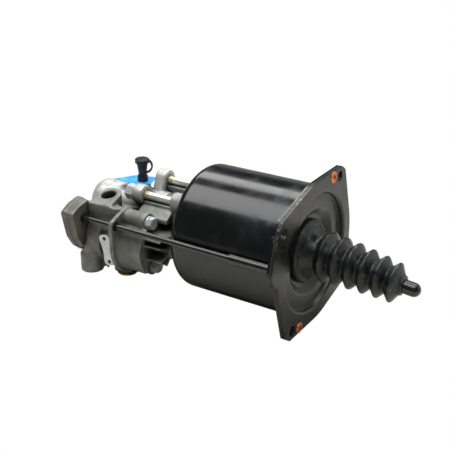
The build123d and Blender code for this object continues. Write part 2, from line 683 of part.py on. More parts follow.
def seal_gland():
    """Steel ring that keeps the seals in their pocket."""
    front = HOUSING_FRONT_X + SPIGOT_LENGTH
    return ring_x(front - GLAND_WIDTH, front, SEAL_POCKET_RADIUS - RUNNING_GAP, PLUNGER_BORE + RUNNING_GAP)


def preload_spring():
    """Conical coil between the can's rear wall and the piston's plate."""
    return coil(CAN_INNER_REAR_X + REST_GAP, PISTON_FRONT_X - PISTON_PLATE - REST_GAP,
                SPRING_LARGE_RADIUS, SPRING_SMALL_RADIUS, SPRING_WIRE_RADIUS, SPRING_TURNS)


def can_gasket():
    """Ring between the can's rear wall and the casting's foot."""
    gasket = plate_x(HOUSING_FRONT_X, CAN_REAR_X, foot_outline())
    gasket -= rod_x(HOUSING_FRONT_X, CAN_REAR_X, SPIGOT_RADIUS + RUNNING_GAP)
    for axis in STUD_AXES:
        gasket -= rod_x(HOUSING_FRONT_X, CAN_REAR_X, STUD_THREAD_RADIUS + BOLT_GAP, axis)
    return gasket


def foot_outline():
    """Outline of the casting's foot on the can."""
    bosses = [(*axis, STUD_BOSS_RADIUS + FOOT_MARGIN) for axis in STUD_AXES]
    return hull((0, 0, SPIGOT_RADIUS + SPIGOT_SHOULDER), *bosses)


def relay_flange_outline():
    """Outline of the relay housing's joint flange, with a lobe over the breather tube."""
    return hull((*RELAY_AXIS, RELAY_RADIUS + RELAY_FLANGE_MARGIN), (*TUBE_AXIS, TUBE_LOBE),
                (*BOLT_AXES[0], BOLT_BOSS_RADIUS + 3 * BOLT_COLLAR_STEP), (*BOLT_AXES[1], BOLT_BOSS_RADIUS))


def relay_ribs():
    """Thin ribs that spread from the end of the relay drum towards the can."""
    start = RELAY_BARREL_FRONT_X - DRUM_ROUND
    length = HOUSING_FRONT_X - FOOT_THICKNESS - start
    ribs = Part()
    for lean, reach in zip(RIB_LEANS, RIB_REACHES):
        blade = Pos(start, 0, -RIB_WALL / 2) * Box(length, reach, RIB_WALL,
                                                   align=(Align.MIN, Align.MIN, Align.MIN))
        ribs += Pos(0, *RELAY_AXIS) * Rot(90 - lean, 0, 0) * blade
    return ribs


def drum_scoop():
    """Flared hollow in the drum's end, round the lower bolt."""
    start = JOINT_X + BOLT_BOSS_LENGTHS[1]
    depth = RELAY_BARREL_FRONT_X - start
    return Pos(start, *BOLT_AXES[1]) * Rot(0, 90, 0) * Cone(SCOOP_RADIUS, SCOOP_END_RADIUS, depth, align=UP)


def stud_rails():
    """Walls of the neck that run under the two upper studs."""
    start = JOINT_X + LUG_FRONT_OFFSETS[0]
    rails = Part()
    for y, z in STUD_AXES[:2]:
        top = z - STUD_SHANK_RADIUS - RAIL_CLEARANCE
        rails += Pos(start, y - RAIL_HALF_WIDTH, RAIL_ROOT_Z) * Box(
            HOUSING_FRONT_X - start, 2 * RAIL_HALF_WIDTH, top - RAIL_ROOT_Z,
            align=(Align.MIN, Align.MIN, Align.MIN))
    return rails


def shelf():
    """Sloping shelf from the near stud's rail down to the upper bolt boss, cut off at an angle."""
    start = JOINT_X + SHELF_START
    end = start + SHELF_LENGTH
    block = plate_x(start, end, make_face(Polyline(*SHELF_SECTION, close=True)))
    corner = SHELF_SECTION[0]
    cut = Pos(end, corner[0], 0) * Rot(0, 0, SHELF_CUT_ANGLE) * Box(
        SHELF_LENGTH, 2 * SHELF_LENGTH, 2 * SHELF_LENGTH, align=(Align.MIN, Align.MAX, Align.CENTER))
    return block - cut


def relay_housing():
    """Front casting: foot on the can, neck round the plunger, relay drum, bosses and ribs."""
    foot_x = HOUSING_FRONT_X - FOOT_THICKNESS
    neck = rod_x(BARREL_FRONT_X, HOUSING_FRONT_X, NECK_RADIUS)
    foot = plate_x(foot_x, HOUSING_FRONT_X, foot_outline())
    spigot = rod_x(foot_x, HOUSING_FRONT_X + SPIGOT_LENGTH, SPIGOT_RADIUS)
    spigot = chamfer(spigot.edges().sort_by(Axis.X)[-1], SPIGOT_CHAMFER)
    drum = rod_x(JOINT_X, RELAY_BARREL_FRONT_X, RELAY_RADIUS, RELAY_AXIS) - drum_scoop()
    flange = plate_x(JOINT_X, JOINT_X + RELAY_FLANGE, relay_flange_outline())
    web_x = RELAY_BARREL_FRONT_X - DRUM_ROUND
    saddle = plate_x(web_x, HOUSING_FRONT_X, hull((0, 0, SADDLE_RADIUS), (*RELAY_AXIS, SADDLE_END_RADIUS)))
    web = Pos(web_x, WEB_EDGE_Y, WEB_Z) * Box(foot_x - web_x, WEB_DEPTH, RIB_WALL,
                                              align=(Align.MIN, Align.MIN, Align.MIN))
    casting = neck + foot + spigot + drum + flange + saddle + web
    casting += relay_ribs() + shelf() + stud_rails()
    for axis in STUD_AXES:
        casting += rod_x(HOUSING_FRONT_X - STUD_BOSS_LENGTH, HOUSING_FRONT_X, STUD_BOSS_RADIUS, axis)
    for axis, length in zip(BOLT_AXES, BOLT_BOSS_LENGTHS):
        end = JOINT_X + length
        casting += rod_x(JOINT_X, end, BOLT_BOSS_RADIUS, axis)
        casting += rod_x(end - BOLT_COLLAR_LENGTH, end, BOLT_BOSS_RADIUS + BOLT_COLLAR_STEP, axis)
    casting -= rod_x(JOINT_X, BARREL_FRONT_X, BARREL_RADIUS + REST_GAP)
    for k, axis in enumerate(STUD_AXES):
        rear, front = lug_span(k)
        casting -= plate_x(rear - REST_GAP, front + REST_GAP, lug_outline(axis, REST_GAP))
        casting -= rod_x(JOINT_X, HOUSING_FRONT_X, STUD_THREAD_RADIUS + BOLT_GAP, axis)
    for axis, length in zip(BOLT_AXES, BOLT_BOSS_LENGTHS):
        end = JOINT_X + length
        casting -= rod_x(JOINT_X, end, BOLT_THREAD_RADIUS + BOLT_GAP, axis)
        casting -= rod_x(end, foot_x, BOLT_WASHER_RADIUS + SPANNER_ROOM, axis)
    casting -= rod_x(JOINT_X, HOUSING_FRONT_X, TUBE_RADIUS + TUBE_HOLE_GAP, TUBE_AXIS)
    casting -= rod_x(JOINT_X, RELAY_BARREL_FRONT_X - RELAY_END_WALL, RELAY_BORE_RADIUS, RELAY_AXIS)
    casting -= rod_x(BARREL_FRONT_X, HOUSING_FRONT_X + SPIGOT_LENGTH, PLUNGER_BORE)
    pocket = GLAND_WIDTH + 2 * SEAL_WIDTH + REST_GAP
    front = HOUSING_FRONT_X + SPIGOT_LENGTH
    return casting - rod_x(front - pocket, front, SEAL_POCKET_RADIUS)


def joint_outline():
    """Outline of the faces that meet where the two castings join."""
    return hull((*RELAY_AXIS, VALVE_NECK_RADIUS + JOINT_MARGIN), (*BOLT_AXES[0], BOLT_BOSS_RADIUS),
                (*BOLT_AXES[1], BOLT_BOSS_RADIUS))


def joint_gasket():
    """Gasket between the two castings."""
    gasket = plate_x(BODY_FRONT_X, JOINT_X, joint_outline())
    gasket -= rod_x(BODY_FRONT_X, JOINT_X, RELAY_BORE_RADIUS, RELAY_AXIS)
    gasket -= rod_x(BODY_FRONT_X, JOINT_X, BARREL_RADIUS + REST_GAP)
    gasket -= plate_x(BODY_FRONT_X, JOINT_X, lug_outline(STUD_AXES[0], REST_GAP))
    for axis in BOLT_AXES:
        gasket -= rod_x(BODY_FRONT_X, JOINT_X, BOLT_THREAD_RADIUS + BOLT_GAP, axis)
    return gasket


def lug_outline(axis, margin):
    """Outline of a stud lug and the web that joins it to the barrel, grown by a margin."""
    root = (axis[0] * LUG_ROOT_SHARE, axis[1] * LUG_ROOT_SHARE, STUD_BOSS_RADIUS + margin)
    return hull((*axis, STUD_BOSS_RADIUS + margin), root)


def lug_span(k):
    """Rear and front station of the k-th stud lug."""
    return BODY_FRONT_X - LUG_REAR_OFFSETS[k], BODY_FRONT_X + LUG_FRONT_OFFSETS[k]


def bridge():
    """Body between the barrel and the valve drum, with a wall that ends in a rough ridge."""
    core = Pos(VALVE_REAR_X, RIDGE_BACK_Y, CASTING_CORE_Z) * Box(
        VALVE_LENGTH, -RIDGE_BACK_Y, BRIDGE_TOP_Z - CASTING_CORE_Z, align=(Align.MIN, Align.MIN, Align.MIN))
    side = make_face(Polyline((VALVE_REAR_X, CASTING_CORE_Z), (VALVE_REAR_X, RIDGE_TOP_Z),
                              (BODY_FRONT_X, RIDGE_JOINT_Z), (BODY_FRONT_X, CASTING_CORE_Z), close=True))
    plan = make_face(Polyline((VALVE_REAR_X, RIDGE_BACK_Y), (VALVE_REAR_X, RIDGE_FACE_Y),
                              (BODY_FRONT_X, RIDGE_FACE_Y + RIDGE_FACE_FALL), (BODY_FRONT_X, RIDGE_BACK_Y),
                              close=True))
    wall = extrude(Plane.XZ * side, -2 * RIDGE_FACE_Y) & extrude(
        Plane.XY.offset(CASTING_CORE_Z) * plan, 2 * RIDGE_TOP_Z)
    return core + wall + top_port()


def top_port():
    """Boss of the upper port: a leaning round-ended pad that runs out to the ridge."""
    edges = (Pos(*TOP_PORT) * Circle(TOP_PORT_PAD_RADIUS)).edges()
    edges += (Pos(*TOP_PORT_PAD_END) * Circle(TOP_PORT_PAD_RADIUS)).edges()
    pad = extrude(Plane.XY * make_hull(edges), 2 * TOP_PORT_Z)
    reach = 4 * TOP_PORT_PAD_RADIUS
    above = port_place() * Box(reach, reach, reach, align=UP)
    rear = Pos(VALVE_REAR_X, 0, 0) * Box(
        reach, 2 * reach, 4 * reach, align=(Align.MAX, Align.MAX, Align.CENTER))
    near = Pos(TOP_PORT[0], RIDGE_FACE_Y + RIDGE_FACE_FALL, 0) * Box(
        2 * reach, reach, 4 * reach, align=(Align.CENTER, Align.MAX, Align.CENTER))
    return pad - above - rear - near


def port_place():
    """Place of the upper port's mouth, with Z along its leaning axis."""
    return Pos(*TOP_PORT, TOP_PORT_Z) * Rot(TOP_PORT_LEAN, 0, 0)


def low_port():
    """Boss of the lower port, stepped, with a blended top and two cast notches at its mouth."""
    boss = rod_z(LOW_PORT_Z, LOW_PORT_STEP_Z, LOW_PORT_OUTER_RADIUS, LOW_PORT)
    boss += rod_z(LOW_PORT_STEP_Z, LOW_PORT_TOP_Z, LOW_PORT_NECK_RADIUS, LOW_PORT)
    boss += Pos(*LOW_PORT, LOW_PORT_TOP_Z) * Cone(LOW_PORT_NECK_RADIUS, LOW_PORT_BLEND_RADIUS,
                                                  LOW_PORT_BLEND_HEIGHT, align=UP)
    for angle in LOW_PORT_NOTCH_ANGLES:
        notch = Pos(LOW_PORT_OUTER_RADIUS, 0, 0) * Box(*LOW_PORT_NOTCH, align=UP)
        boss -= Pos(*LOW_PORT, LOW_PORT_Z + LOW_PORT_NOTCH[2]) * Rot(0, 0, angle) * notch
    return boss


def valve_belly():
    """Low body between the lower port and the exhaust boss, with a small cast pin."""
    edges = (Pos(*LOW_PORT) * Circle(BELLY_RADIUS)).edges()
    edges += (Pos(*EXHAUST) * Circle(EXHAUST_BOSS_RADIUS)).edges()
    belly = extrude(Plane.XY.offset(BELLY_Z) * make_hull(edges), RELAY_AXIS[1] - BELLY_Z)
    return belly + rod_z(PIN_Z, RELAY_AXIS[1], PIN_RADIUS, PIN_PLACE)


def servo_body():
    """Rear casting: hydraulic barrel, valve drum, ports, lugs and bosses."""
    barrel = rod_x(BARREL_REAR_X, BARREL_FRONT_X, BARREL_RADIUS)
    barrel = fillet(barrel.edges().sort_by(Axis.X)[0], BARREL_END_ROUND)
    drum = rod_x(VALVE_REAR_X, VALVE_REAR_X + VALVE_DRUM_LENGTH, VALVE_RADIUS, RELAY_AXIS)
    drum = fillet(drum.edges().sort_by(Axis.X)[-1], DRUM_ROUND)
    neck = rod_x(VALVE_REAR_X, BODY_FRONT_X, VALVE_NECK_RADIUS, RELAY_AXIS)
    face = plate_x(BODY_FRONT_X - JOINT_FACE, BODY_FRONT_X, joint_outline())
    casting = barrel + drum + neck + face + bridge() + low_port() + valve_belly()
    casting += rod_z(EXHAUST_BOSS_Z, RELAY_AXIS[1], EXHAUST_BOSS_RADIUS, EXHAUST)
    casting += rod_z(0, BLEED_BOSS_Z, BLEED_BOSS_RADIUS, (BLEED_X, 0))
    for k, axis in enumerate(STUD_AXES):
        rear, front = lug_span(k)
        casting += plate_x(rear, front, lug_outline(axis, 0))
        casting -= rod_x(rear - STUD_WASHER_SHEET - NUT_HEIGHT - SPANNER_ROOM, rear,
                         STUD_WASHER_RADIUS + SPANNER_ROOM, axis)
        casting -= rod_x(rear, front, STUD_THREAD_RADIUS + RUNNING_GAP, axis)
    for axis in BOLT_AXES:
        casting += rod_x(BODY_FRONT_X - BOLT_REACH - JOINT_FACE, BODY_FRONT_X, BOLT_BOSS_RADIUS, axis)
    for axis in END_SCREW_AXES:
        casting += rod_x(VALVE_REAR_X, VALVE_REAR_X + END_SCREW_REACH + END_STEP, END_SCREW_BOSS, axis)
    casting += tag_land()
    cover_room = plate_x(END_COVER_REAR_X - END_SCREW_HEAD, VALVE_REAR_X, offset(end_outline(), REST_GAP))
    casting -= cover_room - rod_x(BARREL_REAR_X, VALVE_REAR_X, BARREL_RADIUS)
    casting -= rod_x(PLUNGER_REAR_X - STROKE - BARREL_END_ROOM, BARREL_FRONT_X, PLUNGER_BORE)
    casting -= rod_x(VALVE_REAR_X, SEAT_FRONT_X, VALVE_BORE_RADIUS, RELAY_AXIS)
    casting -= rod_x(VALVE_REAR_X, BODY_FRONT_X, RELAY_STEM_RADIUS + RUNNING_GAP, RELAY_AXIS)
    casting -= port_place() * Cylinder(TOP_PORT_RADIUS, 2 * TOP_PORT_DEPTH)
    casting -= rod_z(LOW_PORT_Z, LOW_PORT_Z + LOW_PORT_DEPTH, LOW_PORT_RADIUS, LOW_PORT)
    casting -= rod_z(EXHAUST_BOSS_Z, RELAY_AXIS[1], EXHAUST_BORE_RADIUS, EXHAUST)
    casting -= rod_z(EXHAUST_BOSS_Z - VENT_HEIGHT, EXHAUST_BOSS_Z, VENT_RADIUS + REST_GAP, EXHAUST)
    casting -= rod_z(BLEED_BOSS_Z - BLEED_THREAD_LENGTH, BLEED_BOSS_Z, BLEED_THREAD_RADIUS + RUNNING_GAP,
                     (BLEED_X, 0))
    for axis in BOLT_AXES:
        casting -= rod_x(BODY_FRONT_X - BOLT_REACH, BODY_FRONT_X, BOLT_THREAD_RADIUS + RUNNING_GAP, axis)
    for axis in END_SCREW_AXES:
        casting -= rod_x(VALVE_REAR_X, VALVE_REAR_X + END_SCREW_REACH, END_SCREW_RADIUS + RUNNING_GAP, axis)
    return casting


def tag_outline(margin):
    """Outline of the tag, waisted on its long sides, shrunk by a margin."""
    shape = RectangleRounded(TAG_LENGTH, TAG_WIDTH, TAG_CORNER_RADIUS)
    reach = TAG_WIDTH / 2 + TAG_SIDE_RADIUS - TAG_SIDE_DEPTH
    for side in (-1, 1):
        shape -= Pos(0, side * reach) * Circle(TAG_SIDE_RADIUS)
    return Pos(*TAG_CENTRE) * Rot(0, 0, TAG_LEAN - 90) * offset(shape, -margin)


def tag_land():
    """Flat seat for the tag on the casting."""
    land = extrude(Plane.XZ.offset(-TAG_FACE_Y) * tag_outline(TAG_LAND_MARGIN), -TAG_LAND_DEPTH)
    for place in tag_rivet_places():
        land -= Pos(*place) * Rot(90, 0, 0) * Cylinder(TAG_RIVET_RADIUS + RUNNING_GAP, 2 * TAG_HOLE_DEPTH)
    return land


def tag_rivet_places():
    """Centres of the two tag rivets on the tag's seat."""
    half = TAG_RIVET_SPACING / 2
    lean = radians(TAG_LEAN - 90)
    return [(TAG_CENTRE[0] + side * half * cos(lean), TAG_FACE_Y, TAG_CENTRE[1] + side * half * sin(lean))
            for side in (-1, 1)]


def tag_plate():
    """Bare tag plate with a hole for each rivet."""
    plate = extrude(Plane.XZ.offset(-TAG_FACE_Y) * tag_outline(0), TAG_SHEET)
    for place in tag_rivet_places():
        plate -= Pos(*place) * Rot(90, 0, 0) * Cylinder(TAG_RIVET_RADIUS + RUNNING_GAP, 2 * TAG_HOLE_DEPTH)
    return plate


def tag_rivets():
    """Two small drive rivets with domed heads."""
    length = TAG_RIVET_GRIP + TAG_SHEET
    head = Cone(TAG_RIVET_HEAD, TAG_RIVET_RADIUS, TAG_RIVET_DOME, align=UP)
    stem = Pos(0, 0, -length) * Cylinder(TAG_RIVET_RADIUS, length, align=UP)
    rivet = Pos(0, -TAG_SHEET, 0) * Rot(90, 0, 0) * (head + stem)
    return [Pos(*place) * rivet for place in tag_rivet_places()]


def tie_studs():
    """Studs from inside the can, through the front casting, into or through the lugs."""
    studs = []
    for k, axis in enumerate(STUD_AXES):
        rear, front = lug_span(k)
        boss_end = HOUSING_FRONT_X - STUD_BOSS_LENGTH
        end = rear - STUD_WASHER_SHEET - NUT_HEIGHT if k in NUT_STUDS else rear + BLIND_STUD_SETBACK
        stud = rod_x(end, CAN_INNER_REAR_X, STUD_SHANK_RADIUS, axis)
        stud += rod_x(CAN_INNER_REAR_X, CAN_INNER_REAR_X + STUD_HEAD_HEIGHT, STUD_HEAD_RADIUS, axis)
        stud += rod_x(boss_end, CAN_INNER_REAR_X, STUD_THREAD_RADIUS, axis)
        stud += rod_x(end, front + STUD_THREAD_RUNOUT, STUD_THREAD_RADIUS, axis)
        stud += rod_x(front + STUD_COLLAR_START, front + STUD_COLLAR_END, STUD_THREAD_RADIUS, axis)
        studs.append(stud)
    return studs


def stud_nuts():
    """Tall hex nuts on the two through studs, behind their lugs."""
    nuts = []
    for k in NUT_STUDS:
        seat = lug_span(k)[0] - STUD_WASHER_SHEET
        nut = hexagon_x(seat, seat - NUT_HEIGHT, NUT_FLATS, STUD_AXES[k])
        nuts.append(nut - rod_x(seat - NUT_HEIGHT, seat, STUD_THREAD_RADIUS + RUNNING_GAP, STUD_AXES[k]))
    return nuts


def stud_washers():
    """Thin washers under the stud nuts."""
    washers = []
    for k in NUT_STUDS:
        seat = lug_span(k)[0]
        washers.append(ring_x(seat - STUD_WASHER_SHEET, seat, STUD_WASHER_RADIUS,
                              STUD_THREAD_RADIUS + REST_GAP, STUD_AXES[k]))
    return washers


def housing_bolts():
    """Two hex bolts that pull the relay housing against the servo body."""
    bolts = []
    for axis, length in zip(BOLT_AXES, BOLT_BOSS_LENGTHS):
        seat = JOINT_X + length + BOLT_WASHER_SHEET
        head = hexagon_x(seat, seat + BOLT_HEAD_HEIGHT, BOLT_FLATS, axis)
        bolts.append(head + rod_x(BODY_FRONT_X - BOLT_REACH + REST_GAP, seat, BOLT_THREAD_RADIUS, axis))
    return bolts


def bolt_washers():
    """Washers under the housing bolts."""
    return [ring_x(JOINT_X + length, JOINT_X + length + BOLT_WASHER_SHEET, BOLT_WASHER_RADIUS,
                   BOLT_THREAD_RADIUS + REST_GAP, axis)
            for axis, length in zip(BOLT_AXES, BOLT_BOSS_LENGTHS)]


def end_outline():
    """Rounded outline of the end cover."""
    sketch = make_face(Polyline(*END_CORNERS, close=True))
    for corner, radius in zip(END_CORNERS, END_CORNER_RADII):
        sketch = fillet(sketch.vertices().sort_by_distance(corner)[0], radius)
    return sketch


def end_cover():
    """End cover in two steps, with the tube's socket in front and the supply port behind."""
    step_x = END_COVER_REAR_X + END_STEP
    rear = plate_x(END_COVER_REAR_X, step_x, end_outline())
    rear = fillet(rear.faces().sort_by(Axis.X)[0].edges(), END_EDGE_ROUND)
    cover = rear + plate_x(step_x, END_COVER_FRONT_X, offset(end_outline(), -END_INSET))
    cover += rod_x(step_x, END_COVER_FRONT_X, TUBE_LOBE, TUBE_AXIS)
    supply_x = END_COVER_REAR_X - SUPPLY_BOSS_HEIGHT
    cover += rod_x(supply_x, step_x, SUPPLY_BOSS_RADIUS, SUPPLY_AXIS)
    cavity = hull((*RELAY_AXIS, VALVE_BORE_RADIUS - END_EDGE_ROUND), (*SUPPLY_AXIS, SUPPLY_BORE_RADIUS))
    cover -= plate_x(END_COVER_FRONT_X - SUPPLY_CAVITY_DEPTH, END_COVER_FRONT_X, cavity)
    cover -= rod_x(supply_x, END_COVER_FRONT_X, SUPPLY_BORE_RADIUS, SUPPLY_AXIS)
    tube_end = END_COVER_FRONT_X - TUBE_SOCKET_DEPTH - TUBE_SOCKET_ROOM
    cover -= rod_x(tube_end, END_COVER_FRONT_X, TUBE_RADIUS + RUNNING_GAP, TUBE_AXIS)
    cover -= rod_x(END_COVER_FRONT_X - TUBE_SEAL_WIDTH, END_COVER_FRONT_X, TUBE_SEAL_RADIUS, TUBE_AXIS)
    for axis in END_SCREW_AXES:
        cover -= rod_x(END_COVER_REAR_X, END_COVER_FRONT_X, END_SCREW_HOLE, axis)
    return cover - rod_x(BARREL_REAR_X, END_COVER_FRONT_X, BARREL_RADIUS + REST_GAP)


def end_cover_gasket():
    """Gasket between end cover and servo body."""
    seat = hull((*RELAY_AXIS, VALVE_RADIUS - END_GASKET_SHEET), (*END_SCREW_AXES[0], END_SCREW_BOSS))
    gasket = plate_x(END_COVER_FRONT_X, VALVE_REAR_X, seat & offset(end_outline(), -END_INSET))
    gasket -= rod_x(END_COVER_FRONT_X, VALVE_REAR_X, VALVE_BORE_RADIUS, RELAY_AXIS)
    gasket -= rod_x(END_COVER_FRONT_X, VALVE_REAR_X, BARREL_RADIUS + REST_GAP)
    gasket -= rod_x(END_COVER_FRONT_X, VALVE_REAR_X, TUBE_LOBE + REST_GAP, TUBE_AXIS)
    for axis in END_SCREW_AXES:
        gasket -= rod_x(END_COVER_FRONT_X, VALVE_REAR_X, END_SCREW_HOLE, axis)
    return gasket


def end_cover_screws():
    """Hex screws that hold the end cover."""
    screws = []
    for axis in END_SCREW_AXES:
        head = hexagon_x(END_COVER_REAR_X, END_COVER_REAR_X - END_SCREW_HEAD, END_SCREW_FLATS, axis)
        end = VALVE_REAR_X + END_SCREW_REACH - REST_GAP
        screws.append(head + rod_x(END_COVER_REAR_X, end, END_SCREW_RADIUS, axis))
    return screws


def port_plug():
    """Protective plug in the supply port."""
    head_x = END_COVER_REAR_X - SUPPLY_BOSS_HEIGHT
    plug = rod_x(head_x, head_x + PLUG_GRIP_LENGTH, SUPPLY_BORE_RADIUS - RUNNING_GAP, SUPPLY_AXIS)
    return plug + rod_x(head_x - PLUG_HEAD_HEIGHT, head_x, PLUG_HEAD_RADIUS, SUPPLY_AXIS)


def relay_piston():
    """Relay piston with its seal groove and hollow stem."""
    back = JOINT_X + RELAY_PISTON_BACKSET
    front = back + RELAY_PISTON_THICKNESS
    piston = rod_x(back, front, RELAY_BORE_RADIUS - RUNNING_GAP, RELAY_AXIS)
    piston += rod_x(STEM_TIP_X, back, RELAY_STEM_RADIUS, RELAY_AXIS)
    piston -= ring_x(back + RELAY_GROOVE_LAND, front - RELAY_GROOVE_LAND, RELAY_BORE_RADIUS,
                     RELAY_BORE_RADIUS - RELAY_GROOVE_DEPTH, RELAY_AXIS)
    return piston - rod_x(STEM_TIP_X, back, RELAY_STEM_BORE, RELAY_AXIS)


def relay_piston_seal():
    """Seal ring in the relay piston's groove."""
    back = JOINT_X + RELAY_PISTON_BACKSET
    front = back + RELAY_PISTON_THICKNESS
    return ring_x(back + RELAY_GROOVE_LAND + RUNNING_GAP, front - RELAY_GROOVE_LAND - RUNNING_GAP,
                  RELAY_BORE_RADIUS - RUNNING_GAP, RELAY_BORE_RADIUS - RELAY_GROOVE_DEPTH + RUNNING_GAP,
                  RELAY_AXIS)


def relay_spring():
    """Coil that pushes the relay piston back to rest."""
    return coil(BODY_FRONT_X + REST_GAP, JOINT_X + RELAY_PISTON_BACKSET - REST_GAP, RELAY_SPRING_RADIUS,
                RELAY_SPRING_RADIUS, RELAY_SPRING_WIRE, RELAY_SPRING_TURNS, RELAY_AXIS)


def valve_seat():
    """Brass seat pressed in the valve bore."""
    return ring_x(SEAT_FRONT_X - SEAT_THICKNESS, SEAT_FRONT_X, VALVE_BORE_RADIUS - RUNNING_GAP, SEAT_BORE,
                  RELAY_AXIS)


def inlet_valve():
    """Valve disc with a guide stem."""
    disc = rod_x(DISC_FRONT_X - INLET_DISC_THICKNESS, DISC_FRONT_X, INLET_DISC_RADIUS, RELAY_AXIS)
    stem_end = GUIDE_REAR_X + GUIDE_THICKNESS - REST_GAP
    return disc + rod_x(stem_end, DISC_FRONT_X - INLET_DISC_THICKNESS, INLET_STEM_RADIUS, RELAY_AXIS)


def valve_guide():
    """Disc in the mouth of the valve bore that guides the valve's stem."""
    front = GUIDE_REAR_X + GUIDE_THICKNESS
    guide = rod_x(GUIDE_REAR_X, front, VALVE_BORE_RADIUS - RUNNING_GAP, RELAY_AXIS)
    return guide - rod_x(GUIDE_REAR_X, front, INLET_STEM_RADIUS + RUNNING_GAP, RELAY_AXIS)


def valve_spring():
    """Coil that holds the inlet valve on its seat."""
    return coil(GUIDE_REAR_X + GUIDE_THICKNESS + REST_GAP, DISC_FRONT_X - INLET_DISC_THICKNESS - REST_GAP,
                VALVE_SPRING_RADIUS, VALVE_SPRING_RADIUS, VALVE_SPRING_WIRE, VALVE_SPRING_TURNS, RELAY_AXIS)


def breather_tube():
    """Straight pipe from the end cover to the can's flange."""
    start = END_COVER_FRONT_X - TUBE_SOCKET_DEPTH
    return ring_x(start, GASKET_BACK_X, TUBE_RADIUS, TUBE_BORE, TUBE_AXIS)


def tube_sleeve():
    """Wider sleeve on the tube at the flange."""
    return ring_x(CAN_FLANGE_BACK_X - SLEEVE_LENGTH, CAN_FLANGE_BACK_X, SLEEVE_RADIUS,
                  TUBE_RADIUS + RUNNING_GAP, TUBE_AXIS)


def tube_seal():
    """Seal ring round the tube in the mouth of its socket."""
    return ring_x(END_COVER_FRONT_X - TUBE_SEAL_WIDTH, END_COVER_FRONT_X, TUBE_SEAL_RADIUS - RUNNING_GAP,
                  TUBE_RADIUS + RUNNING_GAP, TUBE_AXIS)


def tube_grommet():
    """Rubber grommet round the tube in the joint flange."""
    return ring_x(JOINT_X, JOINT_X + RELAY_FLANGE, TUBE_RADIUS + TUBE_HOLE_GAP - RUNNING_GAP,
                  TUBE_RADIUS + RUNNING_GAP, TUBE_AXIS)


def exhaust_vent():
    """Vent body under the valve: spigot, neck, drum and open bottom."""
    neck_z = EXHAUST_BOSS_Z - VENT_NECK_HEIGHT
    low_z = EXHAUST_BOSS_Z - VENT_HEIGHT + VENT_RING_HEIGHT
    top_z = EXHAUST_BOSS_Z + VENT_SPIGOT_LENGTH
    drum = rod_z(low_z, neck_z, VENT_RADIUS, EXHAUST)
    drum = chamfer(drum.edges().sort_by(Axis.Z)[0], VENT_TAPER)
    body = drum + rod_z(neck_z, EXHAUST_BOSS_Z, VENT_NECK_RADIUS, EXHAUST)
    body += rod_z(EXHAUST_BOSS_Z, top_z, EXHAUST_BORE_RADIUS - RUNNING_GAP, EXHAUST)
    body -= rod_z(low_z, neck_z - VENT_ROOF, VENT_RADIUS - VENT_WALL, EXHAUST)
    return body - rod_z(low_z, top_z, EXHAUST_BORE_RADIUS - VENT_SPIGOT_WALL, EXHAUST)


def vent_ring():
    """Brass ring that closes the vent's rim."""
    low_z = EXHAUST_BOSS_Z - VENT_HEIGHT
    ring = rod_z(low_z, low_z + VENT_RING_HEIGHT, VENT_RING_RADIUS, EXHAUST)
    ring = chamfer(ring.edges().sort_by(Axis.Z)[0], VENT_RIM_CHAMFER)
    return ring - rod_z(low_z, low_z + VENT_RING_HEIGHT, VENT_RING_RADIUS - VENT_RING_WIDTH, EXHAUST)


def vent_flap():
    """Rubber disc that lies on the brass ring and keeps water out."""
    low_z = EXHAUST_BOSS_Z - VENT_HEIGHT + VENT_RING_HEIGHT
    return rod_z(low_z, low_z + VENT_FLAP_SHEET, VENT_RADIUS - VENT_WALL - REST_GAP, EXHAUST)


def bleeder_screw():
    """Bleed screw: thread, hexagon and nipple."""
    seat = BLEED_BOSS_Z + FILM_SHEET + REST_GAP
    top = seat + BLEED_HEX_HEIGHT
    screw = rod_z(BLEED_BOSS_Z - BLEED_THREAD_LENGTH + REST_GAP, seat, BLEED_THREAD_RADIUS, (BLEED_X, 0))
    hexagon = extrude(Plane.XY.offset(seat) * RegularPolygon(BLEED_HEX_FLATS / 2, 6, major_radius=False),
                      BLEED_HEX_HEIGHT)
    screw += Pos(BLEED_X, 0, 0) * hexagon
    return screw + rod_z(top, top + BLEED_NIPPLE_HEIGHT, BLEED_NIPPLE_RADIUS, (BLEED_X, 0))


